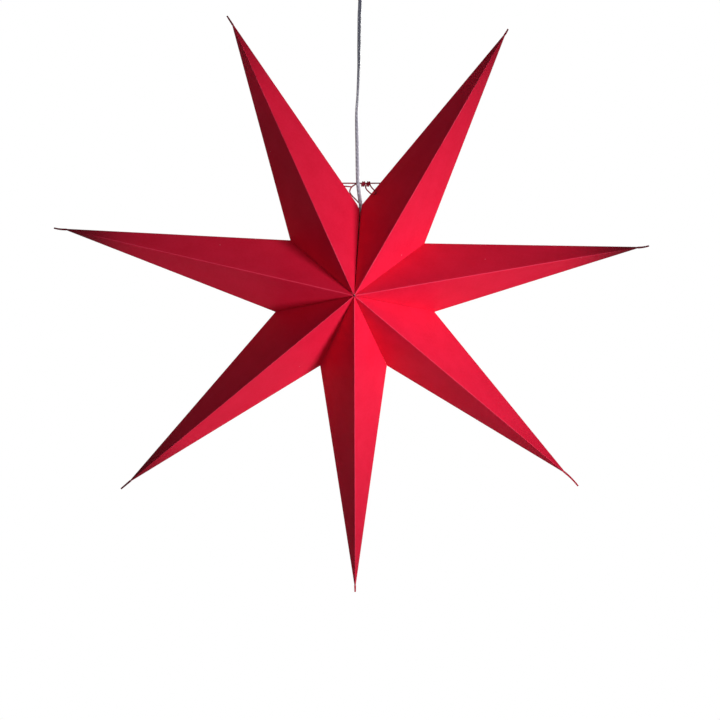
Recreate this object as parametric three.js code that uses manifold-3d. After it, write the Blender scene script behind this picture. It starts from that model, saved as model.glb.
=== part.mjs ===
// Seven-pointed folded card star lantern, hanging by a clear flat cord from a ceiling cup.
// Millimetres. +Z is up, +X is the viewer's right and -Y is towards the viewer.
// The origin is the centre of the ceiling plate's top face, which lies on the ceiling.
import * as THREE from "three";
import { ConvexGeometry } from "three/addons/geometries/ConvexGeometry.js";
import { mergeVertices } from "three/addons/utils/BufferGeometryUtils.js";
import Module from "manifold-3d";

const wasm = await Module();
wasm.setup();

// Shared sizes
const GAP = 0.3; // between two pieces that touch
const OVERRUN = 2; // how far a cut runs past the face it opens
const WELD = 0.0001; // vertices nearer than this are one
const ROUND_STEPS = 24; // sides of a turned piece
const SMALL_ROUND_STEPS = 16; // sides of a small turned piece
const SLOT_WIDTH = 0.6; // of a screw head
const SLOT_DEPTH = 0.45;

// Star
const STAR_BELOW_BALL = 325; // its centre, under the cord outlet's ball
const STAR_ASIDE = 4.9; // its centre, left of the cup's axis
const TIP_RADIUS = 300; // centre to tip
const VALLEY_RADIUS = 83; // centre to the fold between two points
const HALF_DEPTH = 85; // centre to the front or back peak
const CARD = 0.4; // thickness of the card
const FLANGE = 8; // glued strip along each valley
const SEAM_FLANGE = 4; // the same strip along the open seam
const PEAK_HOLE_RADIUS = 1.6; // where the seven ridges stop short of meeting
const TAIL_LENGTH = 13; // pinched tail at each tip
const TAIL_WIDTH = 1.5;
const TAIL_THICKNESS = 1.1;
const TAIL_ROOT = 6; // how far the tail reaches into the point
const TIP_DEG = [114.5, 59.45, 8.8, -40.8, -89.6, -139.7, -192.1];
const TIP_SHARES = [1, 1.009, 1, 1.001, 1.012, 1.015, 1.014];
// The valley on the clockwise side of each point; the first is the open seam.
const VALLEY_DEG = [85.5, 34.1, -13.8, -65.3, -114, -165.6, -219.55];
const VALLEY_SHARES = [1.018, 1.048, 1.019, 0.986, 0.98, 0.97, 0.981];
const SEAM_DEG = 84.1; // the second point's edge of the open seam
const SEAM_SHARE = 1.058;
const NOTCH_CLEARANCE = 0.7; // round the cord where it enters the seam

// Ceiling cup
const PLATE_RADIUS = 38;
const PLATE_THICKNESS = 1.6;
const FIXING_HOLE_RADIUS = 2.3; // for the two ceiling screws
const FIXING_SPACING = 50;
const SUPPLY_HOLE_RADIUS = 5; // for the house wiring
const SUPPLY_HOLE_OFFSET = 24;
const LUG_WIDTH = 10;
const LUG_DROP = 13;
const CUP_RADIUS = 42;
const CUP_HEIGHT = 46;
const CUP_WALL = 2;
const CUP_CORNER = 12; // radius of the rounded bottom edge
const CUP_TAPER = 3; // how much narrower the wall gets towards the bottom
const CUP_SCREW_DEPTH = 8; // below the ceiling
const CUP_SCREW_RADIUS = 1.5;
const CUP_SCREW_HEAD_RADIUS = 3;
const CUP_SCREW_HEAD_HEIGHT = 1.8;
const CUP_SCREW_LENGTH = 8;

// Cord outlet in the cup
const OUTLET_RADIUS = 8; // head under the cup
const OUTLET_HEAD = 9; // height of the head
const STEM_RADIUS = 5; // threaded stem through the cup
const STEM_LENGTH = 12; // above the head
const NUT_RADIUS = 8.5;
const NUT_HEIGHT = 4;
const BALL_RADIUS = 5;
const BALL_DEPTH = 5.5; // the ball's centre below the cup
const BALL_BORE = 2.4; // half-width of the ball's bore at its centre
const BALL_FLARE_DEG = 26; // how steeply the bore opens
const BALL_MOUTH_DEG = 43; // from the ball's lowest point to the bore's rim
const BALL_ROOF = 0.42; // the bore's roof above the ball's centre
const STOP_RADIUS = 5.5; // clamp collar on the cord inside the cup
const STOP_HEIGHT = 7;

// Terminal block in the cup
const BLOCK_LENGTH = 20;
const BLOCK_WIDTH = 12;
const BLOCK_HEIGHT = 11;
const BLOCK_BORE_RADIUS = 1.6;
const BLOCK_PITCH = 9; // between the two terminals
const BLOCK_OFFSET = 14; // in front of the cup's axis
const TERMINAL_SCREW_RADIUS = 1.5;
const TERMINAL_SCREW_LENGTH = 4;

// Cord: its route is a list of places chosen by hand, counted from the ball's centre.
const CORD_WIDTH = 3.8;
const CORD_THICKNESS = 2.4;
const CORD_SIDES = 8;
const CORD_STEPS = 44;
const CORE_RADIUS = 0.7; // one insulated conductor
const CORE_SPACING = 1.7;
const CORD_ROUTE = [
  [0, 0, -0.3],
  [0.4, 0, -9],
  [1.1, 0, -20],
  [1.8, 0, -29],
  [2.1, 0, -36],
  [1.9, 0, -44],
  [1.5, 0, -52],
  [1.2, 0, -75.5],
  [0.9, 0, -99],
  [0.4, 0, -114.5],
  [-0.3, 0, -130.5],
  [-1.3, 0, -146],
  [-1.1, 0, -162],
  [-0.6, 0, -186],
  [-0.2, 0, -209.5],
  [0.4, 0, -219.5],
  [1.3, 0, -227.5],
  [2.2, 0, -233.5],
  [2.8, 0, -239],
  [2.6, 0, -244.5],
  [2.5, 0, -250],
  [2.5, 0, -255.7],
];

// Lampholder for a small screw lamp
const HOLDER_BELOW_VALLEY = 14; // the holder's top under the seam's valley
const NECK_RADIUS = 4.5;
const NECK_HEIGHT = 6;
const DOME_HEIGHT = 11;
const CAP_RADIUS = 13.6;
const CAP_HEIGHT = 24;
const SKIRT_RADIUS = 14.2;
const SKIRT_HEIGHT = 26;
const HOLDER_WALL = 1.5;
const INSERT_HEIGHT = 8;
const INSERT_COLLAR_HEIGHT = 5;
const SHELL_INNER_RADIUS = 7.3;
const SHELL_WALL = 0.5;
const SHELL_LENGTH = 20;
const TONGUE_WIDTH = 4;
const TONGUE_THICKNESS = 0.5;
const TONGUE_DROP = 3; // how far the centre contact springs down
const HOLDER_SCREW_RADIUS = 1.4;
const HOLDER_SCREW_LENGTH = 5;
const HOLDER_SCREW_OFFSET = 7;
const GRIP_SCREW_RADIUS = 1.2;
const GRIP_SCREW_LENGTH = 2.6;

// Lamp
const LAMP_RADIUS = 22.5;
const LAMP_LENGTH = 78; // contact to the end of the glass
const GLASS_WALL = 0.9;
const LAMP_CAP_RADIUS = 6.9; // over the thread
const LAMP_CAP_LENGTH = 22;
const LAMP_CAP_WALL = 0.5;
const THREAD_DEPTH = 0.45;
const THREAD_PITCH = 2.82;
const THREAD_RINGS = 5;
const CONTACT_RADIUS = 2.4;
const CONTACT_HEIGHT = 1.4;
const CONTACT_SHOULDER_SHARES = [0.8, 0.7]; // of its radius and height
const INSULATOR_HEIGHT = 2;
const STEM_GLASS_RADIUS = 2;
const STEM_GLASS_LENGTH = 24;
const FILAMENT_RADIUS = 0.35;
const FILAMENT_SPAN = 16;
const FILAMENT_DROP = 7; // past the end of the stem

// Wire clip across the open seam
const WIRE_RADIUS = 0.6;
const WIRE_CLEARANCE = 0.35; // of a wire in its hole
const WIRE_SIDES = 6;
const BAR_ABOVE_VALLEY = 24; // above the first point's end of the seam
const BAR_GRIP = 6; // how far each end reaches into a point
const BAR_HOOK = 5; // length of the turned-down ends
const EYE_WIDTH = 7.5;
const EYE_HEIGHT = 19;
const EYE_START = 12; // from the first point's edge along the bar
const STUB_DROP = 2.9; // the eye's side hook, under the bar
const COIL_RADIUS = 2.2; // centre of the wire
const COIL_PITCH = 1.65;
const COIL_TURNS = 2; // on each leg of the hook
const COIL_STEPS = 12; // per turn
const COIL_START = 1.3; // from the cord's axis along the bar
const HOOK_WIDTH = 5; // between the two legs
const HOOK_DROP = 10.2;
const HOOK_SIDE = 5.2;
const HOOK_REACH = 11; // towards the viewer
const HOOK_STEPS_PER_PLACE = 1.6;
const WIRE_STEP = 1.4; // spacing of the steps along a wire
const LEAST_WIRE_STEPS = 4;
// Places down the eye: across in shares of its width, down in shares of its height.
const EYE_SHARES = [
  [0, 0],
  [-0.55, 0.13],
  [-0.86, 0.25],
  [-1, 0.41],
  [-0.9, 0.55],
  [-0.54, 0.72],
  [-0.05, 0.91],
  [0.13, 1],
];
const STUB_START_SHARE = 0.8; // of the eye's width
// Places down one leg, round the bend and up the other: [aside, across, down] shares.
const HOOK_SHARES = [
  [0.1, 0, 0.28],
  [0.24, 0, 0.5],
  [0.6, 0, 0.72],
  [0.96, 0.02, 0.9],
  [1.2, 0.12, 1],
  [1.25, 0.5, 1],
  [1.2, 0.86, 0.9],
  [1.04, 1.02, 0.76],
  [0.72, 1, 0.58],
  [0.36, 1, 0.38],
  [0.1, 1, 0.18],
];

// Where the main pieces lie, from the sizes above
const ballZ = -CUP_HEIGHT - BALL_DEPTH;
const star = new THREE.Vector3(-STAR_ASIDE, 0, ballZ - STAR_BELOW_BALL);
const cordEnd = CORD_ROUTE[CORD_ROUTE.length - 1];
const lampX = cordEnd[0];
const holderTop = star.z + VALLEY_RADIUS - HOLDER_BELOW_VALLEY;
const skirtTop = holderTop - CAP_HEIGHT - GAP;
const insertTop = skirtTop + INSERT_HEIGHT - HOLDER_WALL;
const insertBottom = insertTop - INSERT_HEIGHT;
const contactTop = insertBottom - TONGUE_DROP - TONGUE_THICKNESS - GAP;
const capTop = contactTop - CONTACT_HEIGHT - INSULATOR_HEIGHT - GAP * 2;
const capBottom = capTop - LAMP_CAP_LENGTH;
const glassCentre = contactTop - LAMP_LENGTH + LAMP_RADIUS;

const materials = {
  card: material(0xc80c2a, 0.85, 0),
  lacquer: material(0x4a0a12, 0.35, 0.4),
  flex: material(0xa8a8b4, 0.35, 0),
  white: material(0xf0efea, 0.45, 0),
  ivory: material(0xe6e2d4, 0.5, 0),
  steel: material(0xb4b6b8, 0.35, 0.9),
  brass: material(0xc9a14a, 0.35, 0.9),
  glass: material(0xf4f4f0, 0.1, 0),
  black: material(0x1c1c1e, 0.4, 0),
  brown: material(0x6b4226, 0.5, 0),
  blue: material(0x2c5a9c, 0.5, 0),
};

function material(color, roughness, metalness) {
  return new THREE.MeshStandardMaterial({ color, roughness, metalness });
}

// Solids: geometry in, one closed body out, with booleans between them.
function solid(geometry) {
  const bare = geometry.index ? geometry.toNonIndexed() : geometry.clone();
  bare.deleteAttribute("normal");
  bare.deleteAttribute("uv");
  const merged = mergeVertices(bare, WELD);
  const index = merged.index.array;
  const kept = [];
  for (let i = 0; i < index.length; i += 3) {
    const [a, b, c] = [index[i], index[i + 1], index[i + 2]];
    if (a !== b && b !== c && c !== a) kept.push(a, b, c);
  }
  const mesh = new wasm.Mesh({
    numProp: 3,
    vertProperties: merged.getAttribute("position").array,
    triVerts: new Uint32Array(kept),
  });
  return new wasm.Manifold(mesh);
}

function geometryOf(body) {
  const mesh = body.getMesh();
  const geometry = new THREE.BufferGeometry();
  geometry.setAttribute("position", new THREE.BufferAttribute(mesh.vertProperties, 3));
  geometry.setIndex(new THREE.BufferAttribute(mesh.triVerts, 1));
  const faceted = geometry.toNonIndexed();
  faceted.computeVertexNormals();
  return faceted;
}

const lantern = new THREE.Group();

function add(name, body, finish) {
  const mesh = new THREE.Mesh(geometryOf(body), finish);
  mesh.name = name;
  lantern.add(mesh);
}

function joined(bodies) {
  return bodies.reduce((whole, body) => whole.add(body));
}

function without(body, cuts) {
  return cuts.reduce((left, cut) => left.subtract(cut), body);
}

// A profile of [radius, height] pairs turned about the vertical line through x.
function turned(profile, x = 0, steps = ROUND_STEPS) {
  const points = profile.map(([radius, height]) => new THREE.Vector2(radius, height));
  const closed = points[0].x > 0 || points[points.length - 1].x > 0;
  if (closed) points.push(points[0].clone());
  if (THREE.ShapeUtils.area(points) < 0) points.reverse();
  const geometry = new THREE.LatheGeometry(points, steps);
  geometry.rotateX(Math.PI / 2);
  geometry.translate(x, 0, 0);
  return solid(geometry);
}

function box(width, depth, height, x, y, z) {
  const geometry = new THREE.BoxGeometry(width, depth, height);
  geometry.translate(x, y, z);
  return solid(geometry);
}

// A round bar between two places.
function rod(from, to, radius, steps = SMALL_ROUND_STEPS) {
  const along = new THREE.Vector3().subVectors(to, from);
  const geometry = new THREE.CylinderGeometry(radius, radius, along.length(), steps);
  const up = new THREE.Vector3(0, 1, 0);
  const turn = new THREE.Quaternion().setFromUnitVectors(up, along.clone().normalize());
  geometry.applyQuaternion(turn);
  const middle = new THREE.Vector3().addVectors(from, to).multiplyScalar(0.5);
  geometry.translate(middle.x, middle.y, middle.z);
  return solid(geometry);
}

function ovalShape(width, thickness, sides) {
  const shape = new THREE.Shape();
  for (let i = 0; i < sides; i += 1) {
    const angle = (2 * Math.PI * (i + 0.5)) / sides;
    const x = (width / 2) * Math.cos(angle);
    const y = (thickness / 2) * Math.sin(angle);
    if (i === 0) shape.moveTo(x, y);
    else shape.lineTo(x, y);
  }
  shape.closePath();
  return shape;
}

// An oval section swept along a smooth curve through the places.
function swept(places, width, thickness, sides, steps) {
  const extrudePath = new THREE.CatmullRomCurve3(places, false, "centripetal");
  const shape = ovalShape(width, thickness, sides);
  return solid(new THREE.ExtrudeGeometry(shape, { steps, extrudePath }));
}

function wire(places, radius, steps) {
  return swept(places, radius * 2, radius * 2, WIRE_SIDES, steps);
}

const at = (x, y, z) => new THREE.Vector3(x, y, z);
const below = (radius, z) => at(lampX + radius, 0, z);

// Star points
function polar(radius, degrees) {
  const angle = THREE.MathUtils.degToRad(degrees);
  return at(radius * Math.cos(angle), 0, radius * Math.sin(angle)).add(star);
}

function corners(index) {
  const count = VALLEY_DEG.length;
  const before = (index + count - 1) % count;
  const left = index === 1 ? SEAM_DEG : VALLEY_DEG[before] + (index === 0 ? 360 : 0);
  const leftShare = index === 1 ? SEAM_SHARE : VALLEY_SHARES[before];
  return {
    tip: polar(TIP_RADIUS * TIP_SHARES[index] - TAIL_LENGTH + TAIL_ROOT, TIP_DEG[index]),
    end: polar(TIP_RADIUS * TIP_SHARES[index], TIP_DEG[index]),
    left: polar(VALLEY_RADIUS * leftShare, left),
    right: polar(VALLEY_RADIUS * VALLEY_SHARES[index], VALLEY_DEG[index]),
    leftDeg: left,
    rightDeg: VALLEY_DEG[index],
    leftRadius: VALLEY_RADIUS * leftShare,
    rightRadius: VALLEY_RADIUS * VALLEY_SHARES[index],
  };
}

const frontPeak = star.clone().add(at(0, -HALF_DEPTH, 0));
const backPeak = star.clone().add(at(0, HALF_DEPTH, 0));

// All that lies more than a distance beyond a plane, as a block larger than the star.
function beyond(plane, inset) {
  const size = TIP_RADIUS * 3;
  const geometry = new THREE.BoxGeometry(size, size, size);
  geometry.translate(0, 0, size / 2);
  const up = new THREE.Vector3(0, 0, 1);
  geometry.applyQuaternion(new THREE.Quaternion().setFromUnitVectors(up, plane.normal));
  const face = plane.projectPoint(star, at(0, 0, 0)).addScaledVector(plane.normal, -inset);
  geometry.translate(face.x, face.y, face.z);
  return solid(geometry);
}

function planeThrough(a, b, c, inside) {
  const plane = new THREE.Plane().setFromCoplanarPoints(a, b, c);
  if (plane.distanceToPoint(inside) > 0) plane.negate();
  return plane;
}

// The open window in a valley plane, inside its glued strip.
function valleyWindow(degrees, radius, strip) {
  const edge = Math.hypot(radius, HALF_DEPTH);
  const reach = radius - (strip * edge) / HALF_DEPTH;
  const rise = HALF_DEPTH - (strip * edge) / radius;
  const past = rise * (1 + OVERRUN / reach);
  const shape = new THREE.Shape();
  shape.moveTo(-OVERRUN, -past);
  shape.lineTo(reach, 0);
  shape.lineTo(-OVERRUN, past);
  shape.closePath();
  const depth = OVERRUN * 2;
  const geometry = new THREE.ExtrudeGeometry(shape, { depth, bevelEnabled: false });
  geometry.translate(0, 0, -depth / 2);
  const angle = THREE.MathUtils.degToRad(degrees);
  const outward = at(Math.cos(angle), 0, Math.sin(angle));
  const sideways = at(-Math.sin(angle), 0, Math.cos(angle));
  geometry.applyMatrix4(new THREE.Matrix4().makeBasis(outward, at(0, 1, 0), sideways));
  geometry.translate(star.x, star.y, star.z);
  return solid(geometry);
}

function tail(index) {
  const { tip, end } = corners(index);
  const out = end.clone().sub(tip).normalize();
  const side = at(-out.z, 0, out.x);
  const root = tip.clone().addScaledVector(out, -TAIL_ROOT);
  const places = [];
  for (const [place, size] of [[root, TAIL_WIDTH], [end, TAIL_THICKNESS]]) {
    for (const across of [-size / 2, size / 2]) {
      for (const deep of [-TAIL_THICKNESS / 2, TAIL_THICKNESS / 2]) {
        const corner = place.clone().addScaledVector(side, across);
        places.push(corner.add(at(0, deep, 0)));
      }
    }
  }
  return solid(new ConvexGeometry(places));
}

// One folded card point: four outer panels, hollow, with a glued strip on each valley.
function starPoint(index, holes) {
  const c = corners(index);
  const outline = [c.tip, frontPeak, backPeak, c.left, c.right];
  const middle = outline.reduce((sum, p) => sum.add(p), at(0, 0, 0)).divideScalar(outline.length);
  const panels = [
    planeThrough(c.tip, frontPeak, c.left, middle),
    planeThrough(c.tip, frontPeak, c.right, middle),
    planeThrough(c.tip, backPeak, c.left, middle),
    planeThrough(c.tip, backPeak, c.right, middle),
  ];
  const sides = [
    planeThrough(frontPeak, backPeak, c.left, middle),
    planeThrough(frontPeak, backPeak, c.right, middle),
  ];
  const body = solid(new ConvexGeometry(outline));
  const outer = without(body, sides.map((plane) => beyond(plane, GAP / 2)));
  const trims = panels.map((plane) => beyond(plane, CARD));
  const sideTrims = sides.map((plane) => beyond(plane, GAP / 2 + CARD));
  const hollow = without(body, [...trims, ...sideTrims]);
  const windows = [
    valleyWindow(c.leftDeg, c.leftRadius, index === 1 ? SEAM_FLANGE : FLANGE),
    valleyWindow(c.rightDeg, c.rightRadius, index === 0 ? SEAM_FLANGE : FLANGE),
  ];
  const peakHole = rod(
    at(star.x, -HALF_DEPTH * 2, star.z),
    at(star.x, HALF_DEPTH * 2, star.z),
    PEAK_HOLE_RADIUS,
  );
  return without(outer, [hollow, ...windows, peakHole]).add(tail(index)).subtract(holes);
}

// Where the edge of a point that faces the open seam passes a height.
function edgeX(index, z) {
  const c = corners(index);
  const foot = index === 0 ? c.right : c.left;
  return foot.x + ((c.tip.x - foot.x) * (z - foot.z)) / (c.tip.z - foot.z);
}

// Wire clip
const barZ = corners(0).right.z + BAR_ABOVE_VALLEY;
const barY = CORD_WIDTH / 2 + WIRE_RADIUS + GAP * 2;
const barLeft = edgeX(0, barZ) - BAR_GRIP;
const barRight = edgeX(1, barZ) + BAR_GRIP;

function wireSteps(places) {
  const length = places.slice(1).reduce((sum, p, i) => sum + p.distanceTo(places[i]), 0);
  return Math.max(LEAST_WIRE_STEPS, Math.round(length / WIRE_STEP));
}

function hangerWire(radius) {
  const turn = WIRE_RADIUS * 2;
  const bar = [
    at(barLeft, barY, barZ - BAR_HOOK),
    at(barLeft, barY, barZ - turn),
    at(barLeft + turn, barY, barZ),
    at((barLeft + barRight) / 2, barY, barZ),
    at(barRight - turn, barY, barZ),
    at(barRight, barY, barZ - turn),
    at(barRight, barY, barZ - BAR_HOOK),
  ];
  const eyeX = edgeX(0, barZ) + EYE_START + turn * 2;
  const eye = EYE_SHARES.map(([across, down]) =>
    at(eyeX + across * EYE_WIDTH, barY, barZ - down * EYE_HEIGHT),
  );
  const stubZ = barZ - STUB_DROP;
  const stub = [
    at(eyeX - EYE_WIDTH * STUB_START_SHARE, barY, stubZ - turn / 2),
    at(edgeX(0, stubZ), barY, stubZ),
    at(edgeX(0, stubZ) - BAR_GRIP, barY, stubZ + turn / 2),
  ];
  return joined([bar, eye, stub].map((places) => wire(places, radius, wireSteps(places))));
}

// The height of the second point's front face in front of a place, for the hook to clear.
function clearY(x, z) {
  const c = corners(1);
  const plane = planeThrough(c.tip, frontPeak, c.left, star);
  const room = WIRE_RADIUS + GAP * 2;
  const n = plane.normal;
  return (-plane.constant + room - n.x * x - n.z * z) / n.y;
}

const coilX = cordEnd[0] + COIL_START;
const coilZ = barZ - (COIL_RADIUS - WIRE_RADIUS * 2 - GAP);

function coil(fromX) {
  const places = [];
  const count = Math.round(COIL_TURNS * COIL_STEPS);
  for (let i = 0; i <= count; i += 1) {
    const angle = (2 * Math.PI * (i - count)) / COIL_STEPS;
    const x = fromX + (COIL_PITCH * i) / COIL_STEPS;
    places.push(at(x, barY - COIL_RADIUS * Math.cos(angle), coilZ - COIL_RADIUS * Math.sin(angle)));
  }
  return places;
}

function closingHook() {
  const coilLength = COIL_PITCH * COIL_TURNS;
  const legX = coilX + coilLength;
  const first = coil(coilX);
  const last = coil(legX + HOOK_WIDTH - coilLength).reverse();
  const frontY = barY - COIL_RADIUS;
  const legs = HOOK_SHARES.map(([aside, across, down]) => {
    const x = legX + aside * HOOK_SIDE + across * HOOK_WIDTH;
    const z = coilZ - down * HOOK_DROP;
    return at(x, Math.min(frontY - down * HOOK_REACH, clearY(x, z)), z);
  });
  const places = [...first, ...legs, ...last];
  reportGap(places);
  return wire(places, WIRE_RADIUS, Math.round(places.length * HOOK_STEPS_PER_PLACE));
}

// The hook's least gap to its own wire, measured on the points of its centre line.
function reportGap(places) {
  let least = Infinity;
  places.forEach((a, i) => {
    for (const b of places.slice(i + COIL_STEPS - 2)) least = Math.min(least, a.distanceTo(b));
  });
  console.log("closing hook, least gap to itself:", (least - WIRE_RADIUS * 2).toFixed(2), "mm");
}

// Star and clip
const cordNotch = rod(
  below(0, holderTop - OVERRUN),
  below(0, corners(1).left.z + OVERRUN * 2),
  CORD_WIDTH / 2 + NOTCH_CLEARANCE,
);
const cardHoles = cordNotch.add(hangerWire(WIRE_RADIUS + WIRE_CLEARANCE));
TIP_DEG.forEach((degrees, index) => {
  add("point_" + (index + 1), starPoint(index, cardHoles), materials.card);
});
add("hanger_wire", hangerWire(WIRE_RADIUS), materials.lacquer);
add("closing_hook", closingHook(), materials.lacquer);

// Ceiling cup and plate
function cupProfile() {
  const low = CUP_RADIUS - CUP_TAPER;
  const outer = [[CUP_RADIUS, -GAP]];
  const inner = [[CUP_RADIUS - CUP_WALL, -GAP]];
  const steps = 5;
  for (let i = 0; i <= steps; i += 1) {
    const angle = (Math.PI / 2) * (i / steps);
    const x = low - CUP_CORNER + CUP_CORNER * Math.cos(angle);
    const z = -CUP_HEIGHT + CUP_CORNER - CUP_CORNER * Math.sin(angle);
    outer.push([x, z]);
    inner.push([x - CUP_WALL * Math.cos(angle), z + CUP_WALL * Math.sin(angle)]);
  }
  const hole = STEM_RADIUS + GAP;
  return [...outer, [hole, -CUP_HEIGHT], [hole, -CUP_HEIGHT + CUP_WALL], ...inner.reverse()];
}

const screwWay = (side, from, to, radius) =>
  rod(at(side * from, 0, -CUP_SCREW_DEPTH), at(side * to, 0, -CUP_SCREW_DEPTH), radius);

function ceilingPlate() {
  const disc = turned([
    [0, -PLATE_THICKNESS],
    [PLATE_RADIUS, -PLATE_THICKNESS],
    [PLATE_RADIUS, 0],
    [0, 0],
  ]);
  const lugX = PLATE_RADIUS - PLATE_THICKNESS;
  const lugs = [-1, 1].map((side) =>
    box(PLATE_THICKNESS, LUG_WIDTH, LUG_DROP, side * lugX, 0, -LUG_DROP / 2 - PLATE_THICKNESS / 2),
  );
  const screws = [-1, 1].map((side) =>
    screwWay(side, lugX - OVERRUN, lugX + OVERRUN, CUP_SCREW_RADIUS + GAP),
  );
  const upright = (x, y, radius) => rod(at(x, y, -OVERRUN * 2), at(x, y, OVERRUN), radius);
  const holes = [
    upright(0, -FIXING_SPACING / 2, FIXING_HOLE_RADIUS),
    upright(0, FIXING_SPACING / 2, FIXING_HOLE_RADIUS),
    upright(-SUPPLY_HOLE_OFFSET, 0, SUPPLY_HOLE_RADIUS),
  ];
  return without(joined([disc, ...lugs]), [...screws, ...holes]);
}

function ceilingCup() {
  const holes = [-1, 1].map((side) =>
    screwWay(side, CUP_RADIUS - CUP_WALL * 3, CUP_RADIUS + OVERRUN, CUP_SCREW_RADIUS + GAP),
  );
  return without(turned(cupProfile()), holes);
}

function cupScrew(side) {
  const face = CUP_RADIUS + GAP;
  const end = face + CUP_SCREW_HEAD_HEIGHT;
  const head = screwWay(side, face, end, CUP_SCREW_HEAD_RADIUS);
  const shank = screwWay(side, face - CUP_SCREW_LENGTH, face + GAP, CUP_SCREW_RADIUS);
  const slotLength = CUP_SCREW_HEAD_RADIUS * 2 + OVERRUN;
  const slot = box(SLOT_DEPTH * 2, SLOT_WIDTH, slotLength, side * end, 0, -CUP_SCREW_DEPTH);
  return head.add(shank).subtract(slot);
}

// Cord outlet: a hollow head holding a ball that the cord runs through
const socketLip = OUTLET_HEAD - BALL_DEPTH;

function outletBody() {
  const top = -CUP_HEIGHT + STEM_LENGTH;
  const face = -CUP_HEIGHT - GAP;
  const foot = -CUP_HEIGHT - OUTLET_HEAD;
  const socket = BALL_RADIUS + GAP;
  const bore = CORD_WIDTH / 2 + GAP;
  const lip = -socketLip;
  const steps = 6;
  const from = Math.acos(bore / socket);
  const to = Math.asin(lip / socket);
  const ball = [];
  for (let i = 0; i <= steps; i += 1) {
    const angle = from + ((to - from) * i) / steps;
    ball.push([socket * Math.cos(angle), ballZ + socket * Math.sin(angle)]);
  }
  return turned([
    [bore, top],
    [STEM_RADIUS, top],
    [STEM_RADIUS, face],
    [OUTLET_RADIUS, face],
    [OUTLET_RADIUS, foot + GAP * 3],
    [OUTLET_RADIUS - GAP * 3, foot],
    ...ball.reverse(),
  ]);
}

function outletNut() {
  const floor = -CUP_HEIGHT + CUP_WALL + GAP;
  const hex = new THREE.CylinderGeometry(NUT_RADIUS, NUT_RADIUS, NUT_HEIGHT, 6);
  hex.rotateX(Math.PI / 2);
  hex.translate(0, 0, floor + NUT_HEIGHT / 2);
  const bore = rod(
    at(0, 0, floor - OVERRUN),
    at(0, 0, floor + NUT_HEIGHT + OVERRUN),
    STEM_RADIUS + GAP,
    ROUND_STEPS,
  );
  return solid(hex).subtract(bore);
}

// The ball's bore flares downwards so that the cord can lean; its roof is just above the cord's end.
function swivelBall() {
  const flare = Math.tan(THREE.MathUtils.degToRad(BALL_FLARE_DEG));
  const steps = 8;
  const profile = [];
  const lowest = THREE.MathUtils.degToRad(BALL_MOUTH_DEG) - Math.PI / 2;
  for (let i = 0; i <= steps; i += 1) {
    const angle = lowest + ((Math.PI / 2 - lowest) * i) / steps;
    profile.push([BALL_RADIUS * Math.cos(angle), ballZ + BALL_RADIUS * Math.sin(angle)]);
  }
  profile[steps][0] = 0;
  const mouth = BALL_BORE + flare * (BALL_RADIUS * Math.sin(-lowest));
  const rim = Math.min(mouth, BALL_RADIUS * Math.cos(lowest) - GAP);
  const roof = ballZ + BALL_ROOF;
  profile.unshift([0, roof], [BALL_BORE, roof], [rim, ballZ + BALL_RADIUS * Math.sin(lowest)]);
  return turned(profile);
}

add("ceiling_plate", ceilingPlate(), materials.steel);
add("ceiling_cup", ceilingCup(), materials.white);
add("cup_screw_left", cupScrew(-1), materials.steel);
add("cup_screw_right", cupScrew(1), materials.steel);
add("outlet_body", outletBody(), materials.white);
add("outlet_nut", outletNut(), materials.white);
add("swivel_ball", swivelBall(), materials.white);

// Cord
const fromBall = ([x, y, z]) => at(x, y, z + ballZ);
add(
  "cord",
  swept(CORD_ROUTE.map(fromBall), CORD_WIDTH, CORD_THICKNESS, CORD_SIDES, CORD_STEPS),
  materials.flex,
);

// Inside the cup: the cord's tail, its stop collar and the terminal block
const tailBottom = ballZ + BALL_RADIUS + GAP;
const stopBottom = -CUP_HEIGHT + STEM_LENGTH + GAP;
const tailTop = stopBottom + STOP_HEIGHT + OVERRUN;
const blockTop = -PLATE_THICKNESS - GAP;
const blockZ = blockTop - BLOCK_HEIGHT / 2;
const terminalX = [-BLOCK_PITCH / 2, BLOCK_PITCH / 2];

function cordTail() {
  const steps = 4;
  return swept(
    [at(0, 0, tailBottom), at(0, 0, (tailBottom + tailTop) / 2), at(0, 0, tailTop)],
    CORD_WIDTH,
    CORD_THICKNESS,
    CORD_SIDES,
    steps,
  );
}

function tailCore(side) {
  const startX = (side * CORE_SPACING) / 2;
  const endX = (side * BLOCK_PITCH) / 2;
  const frontY = -BLOCK_OFFSET + BLOCK_WIDTH / 2;
  const steps = 14;
  const places = [
    at(startX, 0, tailTop + GAP),
    at(startX, 0, tailTop + CORD_WIDTH),
    at((startX + endX) / 2, CORD_WIDTH / 2, (tailTop + blockZ) / 2),
    at(endX, CORD_WIDTH / 2, blockZ - CORD_WIDTH / 2),
    at(endX, 0, blockZ),
    at(endX, frontY + GAP, blockZ),
    at(endX, frontY - OVERRUN, blockZ),
  ];
  return wire(places, CORE_RADIUS, steps);
}

function terminalBlock() {
  const blockY = -BLOCK_OFFSET;
  const body = box(BLOCK_LENGTH, BLOCK_WIDTH, BLOCK_HEIGHT, 0, blockY, blockZ);
  const bores = terminalX.map((x) =>
    rod(
      at(x, blockY - BLOCK_WIDTH, blockZ),
      at(x, blockY + BLOCK_WIDTH, blockZ),
      BLOCK_BORE_RADIUS,
    ),
  );
  const wells = terminalX.map((x) =>
    rod(
      at(x, blockY, blockZ),
      at(x, blockY, blockTop - BLOCK_HEIGHT - OVERRUN),
      TERMINAL_SCREW_RADIUS + GAP,
    ),
  );
  return without(body, [...bores, ...wells]);
}

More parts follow.
